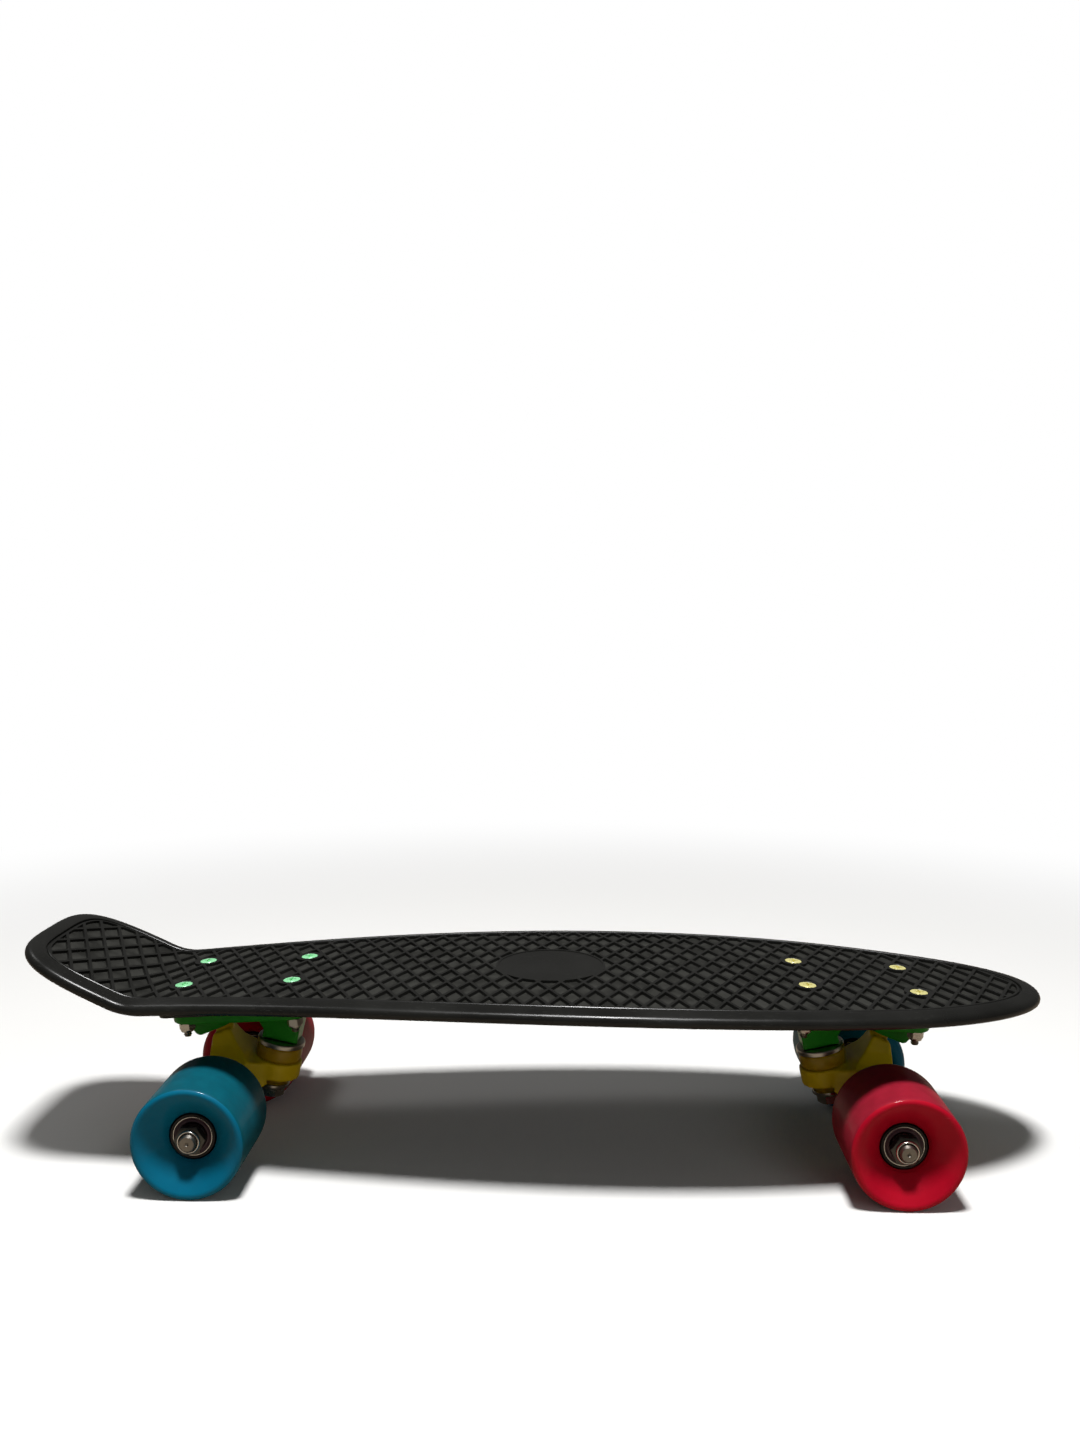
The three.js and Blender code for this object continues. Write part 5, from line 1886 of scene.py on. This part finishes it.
@dataclass(frozen=True)
class Wheel:
    """One wheel with its bearings, sleeve and axle nut, drawn about Z and laid along its axle."""

    end: End
    side: Side
    truck: Truck
    finish: Finish
    slot: str
    sizes: WheelSizes = field(default_factory=WheelSizes)
    sides: int = 96
    tread_depth: float = 0.3

    @property
    def name(self) -> str:
        """The words that this wheel's pieces and nodes start with."""
        return f"{self.end.word}_{self.side.word}"

    def tyre(self) -> Mesh:
        """The moulded wheel, from its inner lip round the tread to the dished outer face."""
        sizes = self.sizes
        radius, low, high = sizes.radius, sizes.inner_face, sizes.outer_face
        seat, shoulder = sizes.seat_radius, sizes.shoulder_radius
        inner_end = sizes.inner_bearing + sizes.bearing_width + sizes.seat_gap
        outer_start = sizes.outer_bearing - sizes.seat_gap
        (lip_in, lip_down), (root_in, root_up) = sizes.outer_lip, sizes.inner_lip
        dish = [(at, low + up) for at, up in sizes.inner_dish]
        edge = [(radius - inwards, high - down) for inwards, down in sizes.outer_edge]
        hub = [(sizes.hub_radius + out, sizes.hub_face + up) for out, up in sizes.hub_edge]
        mesh = spun([
            (shoulder, inner_end), (seat, inner_end), (seat, sizes.inner_bearing), *dish,
            *arc((radius - root_in, low + root_up), sizes.inner_lip, -95, 0, 12),
            (radius, high - sizes.tread_end),
            *arc((radius - lip_in, high - lip_down), sizes.outer_lip, 0, 84, 10), *edge, *hub,
            (seat, sizes.outer_bearing + sizes.bearing_width), (seat, outer_start), (shoulder, outer_start),
        ], self.sides)
        # Marks the tread band for darker, duller colours: road wear together with painted shade that tones
        # down its lit band.
        scuffed = mesh.attributes.new(SCUFF_AND_SHADE_LAYER, "FLOAT", "FACE")
        for face, mark in zip(mesh.polygons, scuffed.data):
            mark.value = float(face.center.xy.length > radius - self.tread_depth)
        return mesh

    def race(self, face: float, way: int) -> Mesh:
        """A bearing's outer ring, with both edges of its face turned down.

        Args:
            face: the height of the face that shows.
            way: 1 if that face looks outwards from the board, -1 if it looks inwards.

        Returns:
            The ring, about Z.
        """
        sizes = self.sizes
        back, outer, inner = face - way * sizes.bearing_width, sizes.bearing_radius, sizes.race_bore
        return spun([
            (inner, back), (outer - 0.5, back), (outer, back + way * 0.5), (outer, face - way * 0.6),
            (outer - 0.6, face), (inner + 0.2, face), (inner, face - way * 0.2),
        ], self.sides)

    def clip(self, face: float, way: int) -> Mesh:
        """The thin bright ring between a bearing's outer ring and its shield."""
        inner, outer = self.sizes.clip_inner, self.sizes.clip_outer
        back, out = face - way * 0.5, face + way * 0.05
        return spun([
            (inner, back), (inner + 0.05, out - way * 0.12), (inner + 0.15, out), (outer - 0.14, out),
            (outer - 0.04, out - way * 0.12), (outer, back),
        ], self.sides)

    def shield(self, face: float, way: int) -> Mesh:
        """The rubber shield, stepped, with a lip round the sleeve."""
        sizes = self.sizes
        back, bore = face - way * sizes.bearing_width, sizes.bearing_bore
        steps = [(radius, face - way * depth) for radius, depth in sizes.shield_steps]
        return spun([
            (bore, back), (sizes.shield_radius, back), (sizes.shield_radius, face - way * 0.6), *steps,
            (bore + 0.4, face - way * 0.55), (bore, face - way * 0.75),
        ], self.sides)

    def sleeve(self) -> Mesh:
        """The races, spacer and speed rings that stay on the axle."""
        sizes = self.sizes
        bore, race, thin = sizes.sleeve_bore, sizes.race_radius, sizes.spacer_radius
        step = sizes.bearing_width + 1
        return spun([
            (bore, sizes.sleeve_start), (race - 0.2, sizes.sleeve_start), (race, sizes.sleeve_start + 0.2),
            (race, sizes.sleeve_start + step), (thin, sizes.sleeve_start + step),
            (thin, sizes.sleeve_end - step), (race, sizes.sleeve_end - step), (race, sizes.sleeve_end - 0.2),
            (race - 0.2, sizes.sleeve_end),
            (bore, sizes.sleeve_end),
        ], 64)

    def collar(self) -> Mesh:
        """The collar on the axle's nut, which holds its locking ring."""
        sizes = self.sizes
        bore, outer = sizes.sleeve_bore, sizes.nut_collar_radius
        shoulder = sizes.nut_start + sizes.nut_height
        top = shoulder + sizes.nut_collar_height
        return spun([
            (bore, shoulder - 0.02), (outer, shoulder - 0.02), (outer, top - 0.7), (outer - 0.12, top - 0.25),
            (outer - 0.4, top), (bore + 0.35, top), (bore + 0.15, top - 0.12), (bore, top - 0.5),
        ], 64)

    def nut(self) -> Mesh:
        """The six-sided body of the axle's nut."""
        sizes = self.sizes
        shoulder = sizes.nut_start + sizes.nut_height
        return Hardware(self.truck.sizes).nut(sizes.nut_flats, sizes.nut_start, shoulder, sizes.sleeve_bore)

    def put_part(self, part: str, node: str, mesh: Mesh, finish: Finish, body: str, slot: str) -> None:
        """Lays a part along the axle and puts it in place.

        Args:
            part: the last word of the piece's name.
            node: the name of its CAD node without the wheel's words.
            mesh: the part, about Z.
            finish: what it is dressed in.
            body: the CAD body that it rides on.
            slot: its material slot.
        """
        way = self.side.value * self.end.value
        place = self.truck.face @ Hanger(self.truck.sizes).axle_frame(way)
        laid = shade(transformed(mesh, place))
        put(f"{self.name}_{part}", laid, finish, body, slot, f"{self.name}_{node}")

    def build(self) -> None:
        """Builds the wheel's parts and puts them in place."""
        sizes, body, held = self.sizes, f"{self.name}_wheel", self.truck.assembly
        parts = [("tyre", "wheel", self.tyre(), self.finish, body, self.slot)]
        for node, face, way in (
                ("outer_bearing", sizes.outer_bearing + sizes.bearing_width, 1),
                ("inner_bearing", sizes.inner_bearing, -1)):
            parts += [
                (f"{node}_race", node, self.race(face, way), RACE_STEEL_PAINTED_SHADE, body, "bearing"),
                (f"{node}_clip", node, self.clip(face, way), BRIGHT_STEEL, body, "bearing"),
                (f"{node}_shield", node, self.shield(face, way), BEARING_SHIELD, body, "bearing"),
            ]
        parts += [
            ("sleeve", "bearing_sleeve", self.sleeve(), BRIGHT_STEEL, held, "steel"),
            ("nut", "axle_nut", self.nut(), NUT_STEEL_PAINTED_SHADE, held, "steel"),
            ("nut_collar", "axle_nut", self.collar(), BRIGHT_STEEL, held, "steel"),
        ]
        for part in parts:
            self.put_part(*part)


# Stage


@dataclass(frozen=True)
class Lamp:
    """A square soft lamp that looks at the board.

    Attributes:
        name: the lamp's name.
        place: where it hangs, in metres.
        size: its side, in metres.
        power: its power, in watts.
        mirrored: whether shiny things show it.
        aim: the point that it looks at, in metres.
    """

    name: str
    place: tuple[float, float, float]
    size: float
    power: float
    mirrored: bool = True
    aim: tuple[float, float, float] = (0, 0, 0.05)

    def build(self) -> None:
        """Hangs the lamp."""
        data = bpy.data.lights.new(self.name, "AREA")
        data.size, data.energy = self.size, self.power
        lamp = new_object(self.name, data)
        lamp.location = self.place
        lamp.rotation_euler = (Vector(self.aim) - Vector(self.place)).to_track_quat("-Z", "Y").to_euler()
        lamp.visible_glossy = self.mirrored


@dataclass(frozen=True)
class Studio:
    """A pale floor, soft lamps and the photograph's camera."""

    camera_place: tuple[float, float, float] = (22.25, -619.5, 271.7)
    pitch: float = math.radians(5.31)
    yaw: float = math.radians(-1.86)
    roll: float = math.radians(0.03)
    focal_px: float = 1249
    frame_long_px: float = 1440
    sensor: float = 36
    floor_size: float = 40.0
    floor_shaded: float = 0.4
    floor_plain: float = 0.95
    floor_colour: Colour = (0.86, 0.855, 0.84)
    floor_bounce: Colour = (0.36, 0.3, 0.23)
    floor_roughness: float = 0.8
    floor_specular: float = 0.1
    surround: float = 0.09
    surround_colour: Colour = (0.95, 0.93, 0.9)
    lamps: tuple[Lamp, ...] = (
        Lamp("key_lamp", (0.05, -0.34, 1.8), 0.28, 39),
        Lamp("rim_lamp", (-0.9, 0.5, 1.5), 0.4, 2.5),
        Lamp("fill_lamp", (0.9, -1.5, 0.7), 1.0, 2.5, False),
    )

    def camera(self) -> None:
        """Puts the camera where the photograph was taken from."""
        data = bpy.data.cameras.new("camera")
        data.sensor_fit = "AUTO"
        data.sensor_width = self.sensor
        data.lens = self.sensor * self.focal_px / self.frame_long_px
        data.clip_start, data.clip_end = 0.01, 100
        camera = new_object("camera", data)
        forward = Vector((
            math.sin(self.yaw) * math.cos(self.pitch),
            math.cos(self.yaw) * math.cos(self.pitch),
            -math.sin(self.pitch),
        ))
        right = Vector((math.cos(self.yaw), -math.sin(self.yaw), 0))
        up = right.cross(forward)
        level_right = right * math.cos(self.roll) + up * math.sin(self.roll)
        level_up = up * math.cos(self.roll) - right * math.sin(self.roll)
        turn = Matrix((level_right, level_up, -forward)).transposed()
        place = Vector(self.camera_place) * MM
        camera.matrix_world = Matrix.Translation(place) @ turn.to_4x4()
        bpy.context.scene.camera = camera

    def floor(self) -> None:
        """Lays the pale floor, which shades only near the board and is plain white further out."""
        half = self.floor_size / 2
        mesh = bpy.data.meshes.new("floor")
        corners = [(x * half, y * half, 0) for x, y in ((-1, -1), (1, -1), (1, 1), (-1, 1))]
        mesh.from_pydata(corners, [], [(0, 1, 2, 3)])
        paint = bpy.data.materials.new("floor_paint")
        paint.use_nodes = True
        tree = paint.node_tree
        seen = add_node(tree, "ShaderNodeLightPath").outputs["Is Camera Ray"]
        surface = wire(
            tree, tree.nodes["Principled BSDF"], Roughness=self.floor_roughness,
            Specular_IOR_Level=self.floor_specular,
            Base_Color=mixed(tree, "RGBA", seen, self.floor_bounce, self.floor_colour))
        glow = add_node(tree, "ShaderNodeEmission", Color=WHITE)
        place = add_node(tree, "ShaderNodeTexCoord")
        distance = add_node(
            tree, "ShaderNodeVectorMath", {"operation": "LENGTH"}, _0=place.outputs["Object"])
        fade = add_node(
            tree, "ShaderNodeMapRange", {"interpolation_type": "SMOOTHSTEP"}, Value=distance.outputs["Value"],
            From_Min=self.floor_shaded, From_Max=self.floor_plain)
        share = add_math(tree, "MULTIPLY", fade.outputs["Result"], seen)
        mix = add_node(
            tree, "ShaderNodeMixShader", _0=share, _1=surface.outputs[0], _2=glow.outputs[0])
        wire(tree, tree.nodes["Material Output"], Surface=mix.outputs[0])
        mesh.materials.append(paint)
        new_object("floor", mesh)

    def world(self) -> None:
        """Sets a surround that lights the board softly and is white behind it."""
        world = bpy.data.worlds.new("surround")
        world.use_nodes = True
        tree = world.node_tree
        light = wire(
            tree, tree.nodes["Background"], Color=(*self.surround_colour, 1), Strength=self.surround)
        backdrop = add_node(tree, "ShaderNodeBackground", Color=WHITE)
        seen = add_node(tree, "ShaderNodeLightPath").outputs["Is Camera Ray"]
        mix = add_node(tree, "ShaderNodeMixShader", _0=seen, _1=light.outputs[0], _2=backdrop.outputs[0])
        wire(tree, tree.nodes["World Output"], Surface=mix.outputs[0])
        bpy.context.scene.world = world

    def build(self) -> None:
        """Sets the stage."""
        bpy.context.scene.view_settings.view_transform = "Standard"
        self.camera()
        self.floor()
        self.world()
        for lamp in self.lamps:
            lamp.build()


def main() -> None:
    """Builds the board and its stage."""
    logging.basicConfig(level=logging.INFO, format="%(name)s: %(message)s")
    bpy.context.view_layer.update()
    deck = Deck()
    deck.build()
    for end in End:
        truck = Truck(end, deck)
        truck.build()
        for side in Side:
            red = (end is End.FRONT) == (side is Side.RIGHT)
            finish, slot = (RED_URETHANE, "red_wheel") if red else (BLUE_URETHANE, "blue_wheel")
            Wheel(end, side, truck, finish, slot).build()
    Studio().build()


if __name__ == "__main__":
    main()
